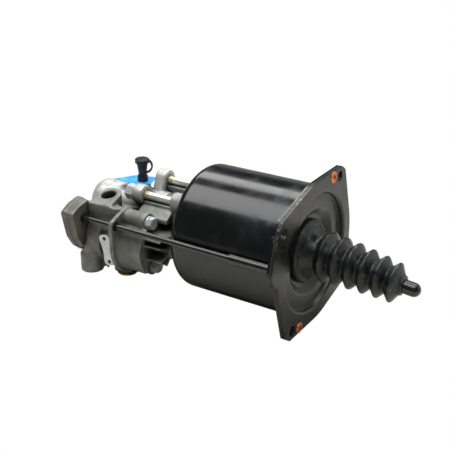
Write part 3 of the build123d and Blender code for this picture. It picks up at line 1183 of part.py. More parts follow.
def bleeder_cap():
    """Rubber cap over nipple and hexagon, with a flat head and a strap down to its waist."""
    foot = BLEED_BOSS_Z + FILM_SHEET + REST_GAP
    hex_top = foot + BLEED_HEX_HEIGHT
    head = CAP_TOP_Z - CAP_HEAD_HEIGHT
    profile = Polyline((0, foot), (CAP_SKIRT_RADIUS, foot), (CAP_SKIRT_RADIUS, hex_top - CAP_HEAD_EDGE),
                       (CAP_WAIST_RADIUS, CAP_WAIST_Z + CAP_HEAD_EDGE),
                       (CAP_SHOULDER_RADIUS, head - CAP_HEAD_EDGE), (CAP_HEAD_RADIUS, head),
                       (CAP_HEAD_RADIUS, CAP_TOP_Z - CAP_HEAD_EDGE),
                       (CAP_HEAD_RADIUS - CAP_HEAD_EDGE, CAP_TOP_Z), (0, CAP_TOP_Z), close=True)
    cap = revolve(Plane.XZ * make_face(profile), axis=Axis.Z)
    top = CAP_TOP_Z - STRAP_TOP_DROP
    arc = ThreePointArc((CAP_HEAD_RADIUS - CAP_HEAD_EDGE, 0, top), (STRAP_REACH, 0, (top + STRAP_FOOT_Z) / 2),
                        (CAP_WAIST_RADIUS, 0, STRAP_FOOT_Z))
    cap += sweep(Plane(arc @ 0, (0, 1, 0), arc % 0) * Rectangle(STRAP_WIDTH, STRAP_SHEET), arc)
    cap -= rod_z(foot, hex_top + RUNNING_GAP, BLEED_HEX_FLATS / 2 / cos(radians(30)) + RUNNING_GAP, (0, 0))
    cap -= rod_z(foot, hex_top + BLEED_NIPPLE_HEIGHT + REST_GAP, BLEED_NIPPLE_RADIUS + RUNNING_GAP, (0, 0))
    return Pos(BLEED_X, 0, 0) * Rot(0, 0, CAP_TURN) * cap


def protective_film():
    """Film left lying on the bleed boss, with a hole for the screw."""
    outline = make_face(Polyline(*FILM_CORNERS, close=True))
    sheet = extrude(Plane.XY.offset(BLEED_BOSS_Z) * outline, FILM_SHEET)
    for k, axis in enumerate(STUD_AXES):
        rear, front = lug_span(k)
        sheet -= plate_x(rear - REST_GAP, front, lug_outline(axis, REST_GAP))
    return sheet - rod_z(BLEED_BOSS_Z, BLEED_BOSS_Z + FILM_SHEET, BLEED_THREAD_RADIUS + 1, (BLEED_X, 0))


SEAT_FRONT_X = BODY_FRONT_X - SEAT_DEPTH
DISC_FRONT_X = SEAT_FRONT_X - SEAT_THICKNESS - 4 * RUNNING_GAP
STEM_TIP_X = DISC_FRONT_X + EXHAUST_GAP
GUIDE_REAR_X = VALVE_REAR_X

PIECES = {
    "front_cover": front_cover, "front_gasket": front_gasket, "cylinder_can": cylinder_can,
    "flange_rivets": flange_rivets, "pushrod": pushrod, "pushrod_cap": pushrod_cap, "boot": boot,
    "air_piston": air_piston, "piston_lip_seal": piston_lip_seal, "piston_guide_ring": piston_guide_ring,
    "ball_retainer": ball_retainer, "hydraulic_plunger": hydraulic_plunger, "plunger_seals": plunger_seals,
    "seal_gland": seal_gland, "preload_spring": preload_spring, "can_gasket": can_gasket,
    "relay_housing": relay_housing, "joint_gasket": joint_gasket, "servo_body": servo_body,
    "tie_studs": tie_studs, "stud_nuts": stud_nuts, "stud_washers": stud_washers,
    "housing_bolts": housing_bolts, "bolt_washers": bolt_washers, "end_cover": end_cover,
    "end_cover_gasket": end_cover_gasket, "end_cover_screws": end_cover_screws, "port_plug": port_plug,
    "relay_piston": relay_piston, "relay_piston_seal": relay_piston_seal, "relay_spring": relay_spring,
    "valve_seat": valve_seat, "inlet_valve": inlet_valve, "valve_guide": valve_guide,
    "valve_spring": valve_spring, "breather_tube": breather_tube, "tube_sleeve": tube_sleeve,
    "tube_seal": tube_seal, "tube_grommet": tube_grommet, "tag_plate": tag_plate, "tag_rivets": tag_rivets,
    "exhaust_vent": exhaust_vent, "vent_ring": vent_ring, "vent_flap": vent_flap,
    "bleeder_screw": bleeder_screw, "bleeder_cap": bleeder_cap, "protective_film": protective_film,
}

for name, make in PIECES.items():
    shape = make()
    if isinstance(shape, list):
        shape = Compound(shape)
    export_step(shape, f"parts/{name}.step")
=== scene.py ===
"""Looks of a truck's hydraulic-pneumatic clutch servo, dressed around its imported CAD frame.

Lengths in the code are in metres, in the frame of the CAD model: +X runs out along the pushrod,
+Z is up towards the bleed screw. Sizes that describe a surface are given in millimetres and
turned to metres by one factor.
"""

import logging
import math
from dataclasses import dataclass, replace
from enum import Enum

import bpy
from mathutils import Matrix, Vector

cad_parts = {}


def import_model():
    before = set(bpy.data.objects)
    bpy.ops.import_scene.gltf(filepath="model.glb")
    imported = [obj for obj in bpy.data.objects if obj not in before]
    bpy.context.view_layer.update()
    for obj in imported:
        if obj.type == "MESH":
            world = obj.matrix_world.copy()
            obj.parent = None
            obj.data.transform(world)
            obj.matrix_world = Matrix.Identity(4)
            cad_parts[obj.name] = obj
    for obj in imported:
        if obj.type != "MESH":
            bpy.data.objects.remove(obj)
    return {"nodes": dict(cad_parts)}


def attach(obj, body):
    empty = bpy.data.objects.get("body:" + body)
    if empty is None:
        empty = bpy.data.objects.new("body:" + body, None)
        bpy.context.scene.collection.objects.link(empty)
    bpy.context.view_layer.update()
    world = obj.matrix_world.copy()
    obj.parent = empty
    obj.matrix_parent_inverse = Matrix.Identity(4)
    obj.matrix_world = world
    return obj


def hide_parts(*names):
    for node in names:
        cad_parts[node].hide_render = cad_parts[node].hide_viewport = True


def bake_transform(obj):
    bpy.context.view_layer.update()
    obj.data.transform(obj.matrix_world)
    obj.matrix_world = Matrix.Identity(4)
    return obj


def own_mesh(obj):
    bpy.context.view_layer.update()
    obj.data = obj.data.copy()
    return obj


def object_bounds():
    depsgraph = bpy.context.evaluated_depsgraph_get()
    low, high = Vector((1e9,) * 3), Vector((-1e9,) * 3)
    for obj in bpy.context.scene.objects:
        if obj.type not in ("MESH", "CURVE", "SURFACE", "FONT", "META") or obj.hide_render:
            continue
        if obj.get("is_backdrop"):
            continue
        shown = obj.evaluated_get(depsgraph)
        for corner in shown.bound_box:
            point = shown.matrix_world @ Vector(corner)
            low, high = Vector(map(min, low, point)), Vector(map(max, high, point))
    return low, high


MM = 0.001
LOG = logging.getLogger("servo")
# Length of one wave of the Wave texture at a scale of 1, in metres.
WAVE_PERIOD = 2 * math.pi / 20
# Finer layers of the noise that spreads colour, dust and wear in patches, and its span.
PATCH_DETAIL = 4.0
PATCH_SPAN = (0.4, 0.65)
# Height of a face's normal where dust begins to lie on it and where it lies whole.
TOP_SPAN = (0.2, 0.95)
# Way that the lit side of the flange's edge faces, where its bare wear and a painted highlight lie,
# how squarely a face has to look that way, and the distances from the pushrod's axis, in
# millimetres, where the mark begins and is whole.
RIM_LIGHT_SIDE = (0.0, -0.75, 0.66)
RIM_FACING = (0.75, 0.95)
RIM_RADII = (58.2, 59.0)
# Rays that look for the walls of a recess, and its openness where the painted shade begins and is whole.
RECESS_RAYS = 8
OPENNESS = (0.75, 0.25)
# Angle above which an edge stays sharp, and the distance below which two vertices are one.
SHARP_ANGLE = math.radians(50)
WELD_MM = 0.002


class Body(Enum):
    """The rigid bodies that the scene's own pieces ride on."""

    SERVO = "servo"
    PISTON = "piston"
    PUSHROD = "pushrod"


def linear(hex_colour: str) -> tuple[float, float, float, float]:
    """Turn an sRGB hex colour into linear light.

    Args:
        hex_colour: colour as "#rrggbb".

    Returns:
        Linear red, green, blue and an alpha of one.
    """
    parts = [int(hex_colour[i:i + 2], 16) / 255 for i in (1, 3, 5)]
    light = [c / 12.92 if c <= 0.04045 else ((c + 0.055) / 1.055) ** 2.4 for c in parts]
    return light[0], light[1], light[2], 1.0


def add_node(tree: bpy.types.NodeTree, kind: str, links: dict | None = None,
             **settings) -> bpy.types.Node:
    """Add one shader node with its settings and incoming links.

    Args:
        tree: node tree that gets the node.
        kind: identifier of the node's type, without its "ShaderNode" prefix.
        links: input name or number to the output socket that feeds it.
        settings: attributes of the node, or values of inputs where the name is an input's.

    Returns:
        The new node.
    """
    node = tree.nodes.new("ShaderNode" + kind)
    for key, value in settings.items():
        if hasattr(node, key):
            setattr(node, key, value)
        else:
            node.inputs[key.replace("_", " ")].default_value = value
    for key, socket in (links or {}).items():
        tree.links.new(socket, node.inputs[key])
    return node


def surface(name: str) -> tuple[bpy.types.Material, bpy.types.NodeTree, bpy.types.Node,
                                bpy.types.NodeSocket]:
    """Start a material.

    Args:
        name: name of the material.

    Returns:
        The material, its tree, its surface shader and the output that gives object coordinates.
    """
    material = bpy.data.materials.new(name)
    material.use_nodes = True
    tree = material.node_tree
    shader = tree.nodes["Principled BSDF"]
    place = add_node(tree, "TexCoord").outputs["Object"]
    return material, tree, shader, place


def grain(tree: bpy.types.NodeTree, place: bpy.types.NodeSocket, size_mm: float, detail: float = 3.0,
          low: float = 0.0, high: float = 1.0) -> bpy.types.NodeSocket:
    """Add a noise of a real grain size.

    Args:
        tree: node tree of the material.
        place: coordinates that the noise reads.
        size_mm: distance from one patch to the next, in millimetres.
        detail: number of finer layers.
        low: noise value that becomes 0.
        high: noise value that becomes 1.

    Returns:
        Output with the stretched noise, from 0 to 1.
    """
    noise = add_node(tree, "TexNoise", {"Vector": place}, Scale=1 / (size_mm * MM), Detail=detail)
    return add_node(tree, "MapRange", {0: noise.outputs["Fac"]}, From_Min=low, From_Max=high).outputs[0]


def blend_colours(tree: bpy.types.NodeTree, share: bpy.types.NodeSocket, first: str,
                  second: str) -> bpy.types.NodeSocket:
    """Mix two hex colours.

    Args:
        tree: node tree of the material.
        share: output that is 0 for the first colour and 1 for the second.
        first: first hex colour.
        second: second hex colour.

    Returns:
        Output with the mixed colour.
    """
    mix = add_node(tree, "Mix", {0: share}, data_type="RGBA")
    mix.inputs[6].default_value = linear(first)
    mix.inputs[7].default_value = linear(second)
    return mix.outputs[2]


def stretch(tree: bpy.types.NodeTree, value: bpy.types.NodeSocket, low: float,
            high: float) -> bpy.types.NodeSocket:
    """Spread the span from low to high over 0 to 1, and clamp the rest."""
    return add_node(tree, "MapRange", {0: value}, From_Min=low, From_Max=high).outputs[0]


def multiply(tree: bpy.types.NodeTree, first: bpy.types.NodeSocket,
             second: bpy.types.NodeSocket | float) -> bpy.types.NodeSocket:
    """Multiply an output by another one or by a number."""
    node = add_node(tree, "Math", {0: first}, operation="MULTIPLY")
    feed(tree, node.inputs[1], second)
    return node.outputs[0]


def feed(tree: bpy.types.NodeTree, target: bpy.types.NodeSocket,
         value: bpy.types.NodeSocket | float) -> None:
    """Link an output to an input, or set a number on it."""
    if isinstance(value, float):
        target.default_value = value
    else:
        tree.links.new(value, target)


def slide(tree: bpy.types.NodeTree, share: bpy.types.NodeSocket,
          first: bpy.types.NodeSocket | float, second: float) -> bpy.types.NodeSocket:
    """Go from a first value to a second one.

    Args:
        tree: node tree of the material.
        share: output that is 0 for the first value and 1 for the second.
        first: output or number.
        second: number.

    Returns:
        Output with the value in between.
    """
    mix = add_node(tree, "Mix", {0: share}, data_type="FLOAT")
    feed(tree, mix.inputs[2], first)
    mix.inputs[3].default_value = second
    return mix.outputs[0]


def lay_over(tree: bpy.types.NodeTree, share: bpy.types.NodeSocket, under: bpy.types.NodeSocket,
             colour: str) -> bpy.types.NodeSocket:
    """Lay a hex colour over another output.

    Args:
        tree: node tree of the material.
        share: output that is 1 where the colour covers.
        under: output with the colour below.
        colour: hex colour that is laid over it.

    Returns:
        Output with the mixed colour.
    """
    mix = add_node(tree, "Mix", {0: share}, data_type="RGBA")
    tree.links.new(under, mix.inputs[6])
    mix.inputs[7].default_value = linear(colour)
    return mix.outputs[2]


def roughen(tree: bpy.types.NodeTree, shader: bpy.types.Node, height: bpy.types.NodeSocket,
            depth_mm: float) -> None:
    """Give a surface a bump.

    Args:
        tree: node tree of the material.
        shader: surface shader that gets the bump.
        height: output that gives the height, from 0 to 1.
        depth_mm: height of the bump, in millimetres.
    """
    bump = add_node(tree, "Bump", {"Height": height}, Strength=1.0, Distance=depth_mm * MM)
    tree.links.new(bump.outputs["Normal"], shader.inputs["Normal"])


class Place(Enum):
    """Parts of a surface that a layer of a finish can lie on."""

    ALL = "all"
    EDGES = "edges"
    SHADED_HOLLOWS = "hollows"
    TOP = "top"
    RIM = "rim"
    SPOT = "spot"
    SHADED_RECESS = "recess"


# The mesh's pointiness where edges, and the hollows that get painted shade, begin and are whole.
POINTINESS = {Place.EDGES: (0.51, 0.56), Place.SHADED_HOLLOWS: (0.49, 0.44)}


@dataclass(frozen=True)
class Layer:
    """Dust, stain, wear, painted light or painted shade that covers part of a finish in patches."""

    colour: str
    patch_mm: float
    low: float = PATCH_SPAN[0]
    high: float = PATCH_SPAN[1]
    place: Place = Place.ALL
    amount: float = 1.0
    roughness: float | None = None
    metallic: float | None = None
    centre_mm: tuple[float, float, float] = (0.0, 0.0, 0.0)
    reach_mm: tuple[float, float] = (5.0, 8.0)

    def share(self, tree: bpy.types.NodeTree, place: bpy.types.NodeSocket) -> bpy.types.NodeSocket:
        """Work out how much of the layer shows at each point.

        Args:
            tree: node tree of the material.
            place: object coordinates.

        Returns:
            Output from 0 to the layer's amount.
        """
        patches = grain(tree, place, self.patch_mm, PATCH_DETAIL, self.low, self.high)
        if self.place is Place.ALL:
            return multiply(tree, patches, self.amount)
        return multiply(tree, multiply(tree, patches, self.region(tree, place)), self.amount)

    def region(self, tree: bpy.types.NodeTree, place: bpy.types.NodeSocket) -> bpy.types.NodeSocket:
        """Mark the part of the surface that the layer keeps to.

        Args:
            tree: node tree of the material.
            place: object coordinates.

        Returns:
            Output that is 1 in the layer's place and 0 elsewhere.
        """
        if self.place is Place.SPOT:
            return self.spot(tree, place)
        if self.place is Place.SHADED_RECESS:
            # painted shade: the more walls close round a point, the darker it is painted
            walls = add_node(tree, "AmbientOcclusion", Distance=self.reach_mm[0] * MM,
                             samples=RECESS_RAYS)
            return stretch(tree, walls.outputs["AO"], *OPENNESS)
        if self.place in (Place.EDGES, Place.SHADED_HOLLOWS):
            pointiness = add_node(tree, "NewGeometry").outputs["Pointiness"]
            return stretch(tree, pointiness, *POINTINESS[self.place])
        if self.place is Place.TOP:
            normal = add_node(tree, "TexCoord").outputs["Normal"]
            facing = add_node(tree, "SeparateXYZ", {0: normal})
            return stretch(tree, facing.outputs["Z"], *TOP_SPAN)
        return self.rim(tree, place)

    def rim(self, tree: bpy.types.NodeTree, place: bpy.types.NodeSocket) -> bpy.types.NodeSocket:
        """Mark the flange's cut edge where it faces the light, near the layer's centre: bare wear with a
        painted highlight.
        """
        normal = add_node(tree, "TexCoord").outputs["Normal"]
        sidewise = add_node(tree, "VectorMath", {0: normal}, operation="DOT_PRODUCT")
        sidewise.inputs[1].default_value = RIM_LIGHT_SIDE
        flat = add_node(tree, "VectorMath", {0: place}, operation="MULTIPLY")
        flat.inputs[1].default_value = (0.0, 1.0, 1.0)
        radius = add_node(tree, "VectorMath", {0: flat.outputs[0]}, operation="LENGTH")
        worn = multiply(tree, stretch(tree, sidewise.outputs["Value"], *RIM_FACING),
                        stretch(tree, radius.outputs["Value"], *(edge * MM for edge in RIM_RADII)))
        return multiply(tree, worn, self.spot(tree, place))

    def spot(self, tree: bpy.types.NodeTree, place: bpy.types.NodeSocket) -> bpy.types.NodeSocket:
        """Mark what lies round the layer's centre, between its inner and outer reach."""
        near, far = (reach * MM for reach in self.reach_mm)
        offset = add_node(tree, "VectorMath", {0: place}, operation="DISTANCE")
        offset.inputs[1].default_value = [value * MM for value in self.centre_mm]
        return stretch(tree, offset.outputs["Value"], far, near)


@dataclass(frozen=True)
class Finish:
    """Paint, casting, rubber or plating: a base colour that varies, its gloss, relief and layers."""

    name: str
    colour: str
    second_colour: str
    patch_mm: float
    roughness: float
    second_roughness: float
    metallic: float = 0.0
    relief_mm: float = 0.02
    relief_grain_mm: float = 1.0
    coat: float = 0.0
    coat_roughness: float = 0.1
    stretch_by: tuple[float, float, float] = (1.0, 1.0, 1.0)
    rings_mm: float = 0.0
    layers: tuple[Layer, ...] = ()

    def relief(self, tree: bpy.types.NodeTree, place: bpy.types.NodeSocket) -> bpy.types.NodeSocket:
        """Make the height of the surface's relief.

        Args:
            tree: node tree of the material.
            place: object coordinates.

        Returns:
            Output with the height, from 0 to 1.
        """
        if self.rings_mm:
            turned = add_node(tree, "TexWave", {"Vector": place}, wave_type="RINGS", rings_direction="X",
                              Scale=WAVE_PERIOD / (self.rings_mm * MM), Distortion=1.0, Detail=2.0)
            return turned.outputs["Fac"]
        drawn = add_node(tree, "VectorMath", {0: place}, operation="MULTIPLY")
        drawn.inputs[1].default_value = self.stretch_by
        return grain(tree, drawn.outputs[0], self.relief_grain_mm)

    def build(self) -> bpy.types.Material:
        """Make the material: a base that varies in patches, the layers over it and the relief.

        Returns:
            The finished material.
        """
        material, tree, shader, place = surface(self.name)
        patches = grain(tree, place, self.patch_mm, PATCH_DETAIL, *PATCH_SPAN)
        colour = blend_colours(tree, patches, self.colour, self.second_colour)
        gloss = add_node(tree, "MapRange", {0: patches}, To_Min=self.roughness,
                         To_Max=self.second_roughness)
        dull, metal = gloss.outputs[0], None
        for layer in self.layers:
            share = layer.share(tree, place)
            colour = lay_over(tree, share, colour, layer.colour)
            if layer.roughness is not None:
                dull = slide(tree, share, dull, layer.roughness)
            if layer.metallic is not None:
                metal = slide(tree, share, self.metallic if metal is None else metal, layer.metallic)
        tree.links.new(colour, shader.inputs["Base Color"])
        tree.links.new(dull, shader.inputs["Roughness"])
        shader.inputs["Metallic"].default_value = self.metallic
        if metal is not None:
            tree.links.new(metal, shader.inputs["Metallic"])
        shader.inputs["Coat Weight"].default_value = self.coat
        shader.inputs["Coat Roughness"].default_value = self.coat_roughness
        roughen(tree, shader, self.relief(tree, place), self.relief_mm)
        return material


# Stoved black enamel on a deep-drawn steel can: glossy, with an orange peel that frays reflections
# and faint bluish stains near the flange. The flange's cut edge is rubbed bare in places and, where it
# faces the light, carries a painted highlight.
CAN_ENAMEL = Finish(
    "stoved_black_enamel", "#090a0b", "#0e1011", 28.0, 0.16, 0.24, relief_mm=0.03, relief_grain_mm=2.6,
    coat=0.2, coat_roughness=0.08, stretch_by=(1.7, 0.6, 0.6), layers=(
        Layer("#1b2530", 9.0, 0.5, 0.7, Place.SPOT, 0.8, 0.3, centre_mm=(-24.0, -42.0, 42.0),
              reach_mm=(10.0, 26.0)),
        Layer("#171919", 14.0, 0.52, 0.66, amount=0.35, roughness=0.36),
        # bare wear on the flange's cut edge, with a painted highlight where the edge faces the light
        Layer("#8d8d89", 3.2, 0.5, 0.62, Place.RIM, 0.7, 0.35, 0.6, (-4.0, -43.0, 50.0), (26.0, 36.0))))
# Satin black electrocoat on the pressed cover: duller than the can, with a film of dust on its
# faces and bright wear on the cut edge of the sheet, with a painted highlight where that edge faces the
# light.
COVER_PAINT = Finish(
    "satin_black_electrocoat", "#111211", "#181918", 14.0, 0.26, 0.36, relief_mm=0.012,
    relief_grain_mm=1.6, layers=(
        Layer("#1f211e", 22.0, 0.42, 0.62, amount=0.55, roughness=0.42),
        # bare wear on the flange's cut edge, with a painted highlight where the edge faces the light
        Layer("#8d8d89", 2.6, 0.5, 0.62, Place.RIM, 0.7, 0.35, 0.6, (-1.0, -43.0, 50.0), (26.0, 36.0))))
# Chloroprene rubber of the boot: black, with blue-grey bloom and dust in patches, paler where the
# crests rub.
BOOT_RUBBER = Finish(
    "dusty_chloroprene_rubber", "#090909", "#121313", 10.0, 0.26, 0.42, relief_mm=0.03,
    relief_grain_mm=1.4, layers=(
        Layer("#4d5254", 9.0, 0.54, 0.66, amount=0.4, roughness=0.7),
        Layer("#5b5f60", 6.0, 0.45, 0.62, Place.TOP, 0.25, 0.6),
        Layer("#55595a", 5.0, 0.45, 0.6, Place.EDGES, 0.35, 0.45)))
# The boot's base disc carries the fine turned rings of its mould.
BOOT_BASE_RUBBER = Finish(
    "ringed_chloroprene_rubber", "#111213", "#1e2021", 10.0, 0.4, 0.56, relief_mm=0.06, rings_mm=1.1,
    layers=(Layer("#4b5155", 12.0, 0.5, 0.68, amount=0.45, roughness=0.7),))
# Dipped vinyl cap of the pushrod: deep black with a soft, clean shine.
CAP_VINYL = Finish("black_dipped_vinyl", "#0a0a0b", "#0f0f10", 8.0, 0.22, 0.28, relief_mm=0.008,
                   relief_grain_mm=0.8, coat=0.4)
# Shot-blasted die-cast aluminium: matte mid grey, fine grit marks and edges rubbed light by handling.
# It carries painted light on the relay housing's top bosses and painted shade, near black in its
# recesses and dark grey-brown in its inner corners.
CAST_ALUMINIUM = Finish(
    "shot_blasted_cast_aluminium", "#777873", "#65655f", 15.0, 0.44, 0.56, 0.45, 0.035, 0.9, layers=(
        # painted light on the tops of the relay housing's stud bosses
        Layer("#a4a5a1", 9.0, 0.2, 0.5, Place.SPOT, 0.8, 0.42, 0.5, (-124.0, -12.0, 32.0), (18.0, 30.0)),
        Layer("#504c44", 7.0, 0.45, 0.7, amount=0.35, roughness=0.65),
        # painted shade, near black, in the deeper recesses
        Layer("#0c0b0a", 6.0, 0.0, 0.3, Place.SHADED_RECESS, 0.95, 0.8, 0.1, reach_mm=(16.0, 16.0)),
        # painted shade, dark grey-brown, in tight inner corners
        Layer("#24221f", 5.0, 0.1, 0.4, Place.SHADED_HOLLOWS, 0.8, 0.7, 0.3),
        Layer("#a9aaa6", 4.0, 0.35, 0.6, Place.EDGES, 0.45, 0.38, 0.8)))
# The servo body is the same alloy, with painted light on its barrel end and on the tops of its lugs.
BODY_ALUMINIUM = replace(
    CAST_ALUMINIUM, name="cast_aluminium_lit_on_top", layers=(
        # painted light on the barrel's end and on the tops of the lugs
        Layer("#c0c1be", 12.0, 0.2, 0.45, Place.SPOT, 0.9, 0.42, 0.5, (-215.0, 15.0, 15.0), (38.0, 48.0)),
        Layer("#babbb7", 12.0, 0.2, 0.45, Place.SPOT, 0.9, 0.42, 0.5, (-167.0, -8.0, 32.0), (20.0, 28.0)),
        Layer("#c0c1be", 12.0, 0.2, 0.45, Place.SPOT, 0.9, 0.42, 0.5, (-167.0, 18.0, 30.0), (20.0, 28.0)),
        *CAST_ALUMINIUM.layers))
# The end cover is the same alloy, darker and browner.
COVER_ALUMINIUM = replace(CAST_ALUMINIUM, name="dark_cast_aluminium", colour="#696862",
                          second_colour="#5a5851")
# Bright zinc plating on steel fasteners: bluish white, a little milky.
ZINC = Finish("bright_zinc_plate", "#dde1e1", "#c8cdce", 5.0, 0.34, 0.44, 0.7, 0.002, 0.8)
# The studs' plating turns straw yellow in the necks beside the lugs.
STUD_ZINC = Finish(
    "yellowed_zinc_plate", "#dcdedb", "#c9ccc8", 6.0, 0.28, 0.36, 0.7, 0.002, 0.8, layers=tuple(
        Layer("#c4b57c", 2.0, 0.2, 0.45, Place.SPOT, 0.8, 0.35, centre_mm=(x, y, z), reach_mm=(4.4, 5.6))
        for x, y, z in ((-162.4, -22.5, 25.5), (-160.9, 12.0, 30.0), (-160.9, 24.0, -24.0))))
GASKET = Finish("pressed_fibre_gasket", "#23221f", "#33312c", 3.0, 0.8, 0.9, 0.0, 0.03, 0.5)
# Copper rivets of the flange, bright where they were set.
COPPER = Finish("copper_rivet", "#e58a5c", "#c9683c", 2.0, 0.3, 0.42, 0.7, 0.004, 0.8)
STEEL = Finish("ground_steel", "#9fa1a3", "#8c8e90", 6.0, 0.28, 0.38, 1.0, 0.006, 0.4)
TURNED_ALUMINIUM = Finish("turned_aluminium", "#b9bbbd", "#a5a7a9", 8.0, 0.3, 0.4, 1.0, 0.006, 0.4)
SEAL_RUBBER = Finish("nitrile_seal_rubber", "#0f0f0f", "#181818", 4.0, 0.5, 0.6, 0.0, 0.01, 0.5)
GUIDE_PLASTIC = Finish("guide_band_acetal", "#c4b899", "#b6aa8a", 6.0, 0.45, 0.55, 0.0, 0.01, 0.5)
SPRING_STEEL = Finish("oiled_spring_steel", "#5a5a5c", "#48484a", 5.0, 0.35, 0.45, 1.0, 0.008, 0.4)
YELLOW_PLASTIC = Finish("yellow_polyethylene", "#f0b00c", "#f5bd22", 6.0, 0.45, 0.55, 0.0, 0.01, 0.8)
BRASS = Finish("turned_brass", "#b98f4a", "#9a6f34", 5.0, 0.26, 0.4, 1.0, 0.008, 0.4)
# Extruded nylon tube: black and smooth, so it keeps one long line of light.
TUBE_NYLON = Finish("extruded_black_nylon", "#0b0c0d", "#111213", 12.0, 0.2, 0.28, 0.0, 0.001, 3.0,
                    coat=0.5)
# Anodised tag, brushed across its length, left bare.
TAG_METAL = Finish("brushed_tag_aluminium", "#dcdedd", "#cfd1cf", 4.0, 0.38, 0.5, 0.35, 0.015, 0.5,
                   stretch_by=(3.0, 1.0, 0.4))
DARK_STEEL = Finish("blackened_rivet_steel", "#3a3a38", "#4c4b48", 2.0, 0.35, 0.5, 0.9, 0.01, 0.4)
VENT_PLASTIC = Finish("dark_moulded_plastic", "#1a1814", "#26231d", 5.0, 0.35, 0.5, 0.0, 0.02, 0.6)
# Thin protective film of blue polythene, greener where light shines through its free end.
FILM = Finish("blue_polythene_film", "#2b80be", "#4798cc", 9.0, 0.28, 0.4, 0.0, 0.04, 6.0, layers=(
    Layer("#35a3bd", 5.0, 0.1, 0.4, Place.SPOT, 0.9, centre_mm=(-170.0, 6.0, 27.0), reach_mm=(4.0, 13.0)),))
# Moulded cap of the bleed screw: black, with a painted blue reflection of the film below it.
CAP_RUBBER = Finish("black_cap_rubber", "#0e0f11", "#17191c", 5.0, 0.34, 0.48, 0.0, 0.02, 0.8, layers=(
    # painted blue reflection of the film below the cap
    Layer("#12304f", 5.0, 0.1, 0.5, Place.SPOT, 0.7, centre_mm=(-187.0, -3.5, 39.5),
          reach_mm=(3.0, 7.0)),))

NODE_FINISHES: dict[str, Finish] = {
    "front_cover": COVER_PAINT, "front_gasket": GASKET, "cylinder_can": CAN_ENAMEL,
    "flange_rivets": COPPER, "pushrod": STEEL, "pushrod_cap": CAP_VINYL, "boot": BOOT_RUBBER,
    "air_piston": TURNED_ALUMINIUM, "piston_lip_seal": SEAL_RUBBER, "piston_guide_ring": GUIDE_PLASTIC,
    "ball_retainer": STEEL, "hydraulic_plunger": STEEL, "plunger_seals": SEAL_RUBBER,
    "seal_gland": STEEL, "preload_spring": SPRING_STEEL, "can_gasket": GASKET,
    "relay_housing": CAST_ALUMINIUM, "joint_gasket": GASKET, "servo_body": CAST_ALUMINIUM,
    "tie_studs": STUD_ZINC, "stud_nuts": ZINC, "stud_washers": ZINC, "housing_bolts": ZINC,
    "bolt_washers": ZINC, "end_cover": CAST_ALUMINIUM, "end_cover_gasket": GASKET,
    "end_cover_screws": ZINC, "port_plug": YELLOW_PLASTIC, "relay_piston": TURNED_ALUMINIUM,
    "relay_piston_seal": SEAL_RUBBER, "relay_spring": SPRING_STEEL, "valve_seat": BRASS,
    "inlet_valve": BRASS, "valve_guide": BRASS, "valve_spring": SPRING_STEEL,
    "breather_tube": TUBE_NYLON, "tube_sleeve": TUBE_NYLON, "tube_seal": SEAL_RUBBER,
    "tube_grommet": SEAL_RUBBER, "tag_plate": TAG_METAL, "tag_rivets": DARK_STEEL,
    "exhaust_vent": VENT_PLASTIC, "vent_ring": BRASS, "vent_flap": SEAL_RUBBER,
    "bleeder_screw": ZINC, "bleeder_cap": CAP_RUBBER, "protective_film": FILM,
}


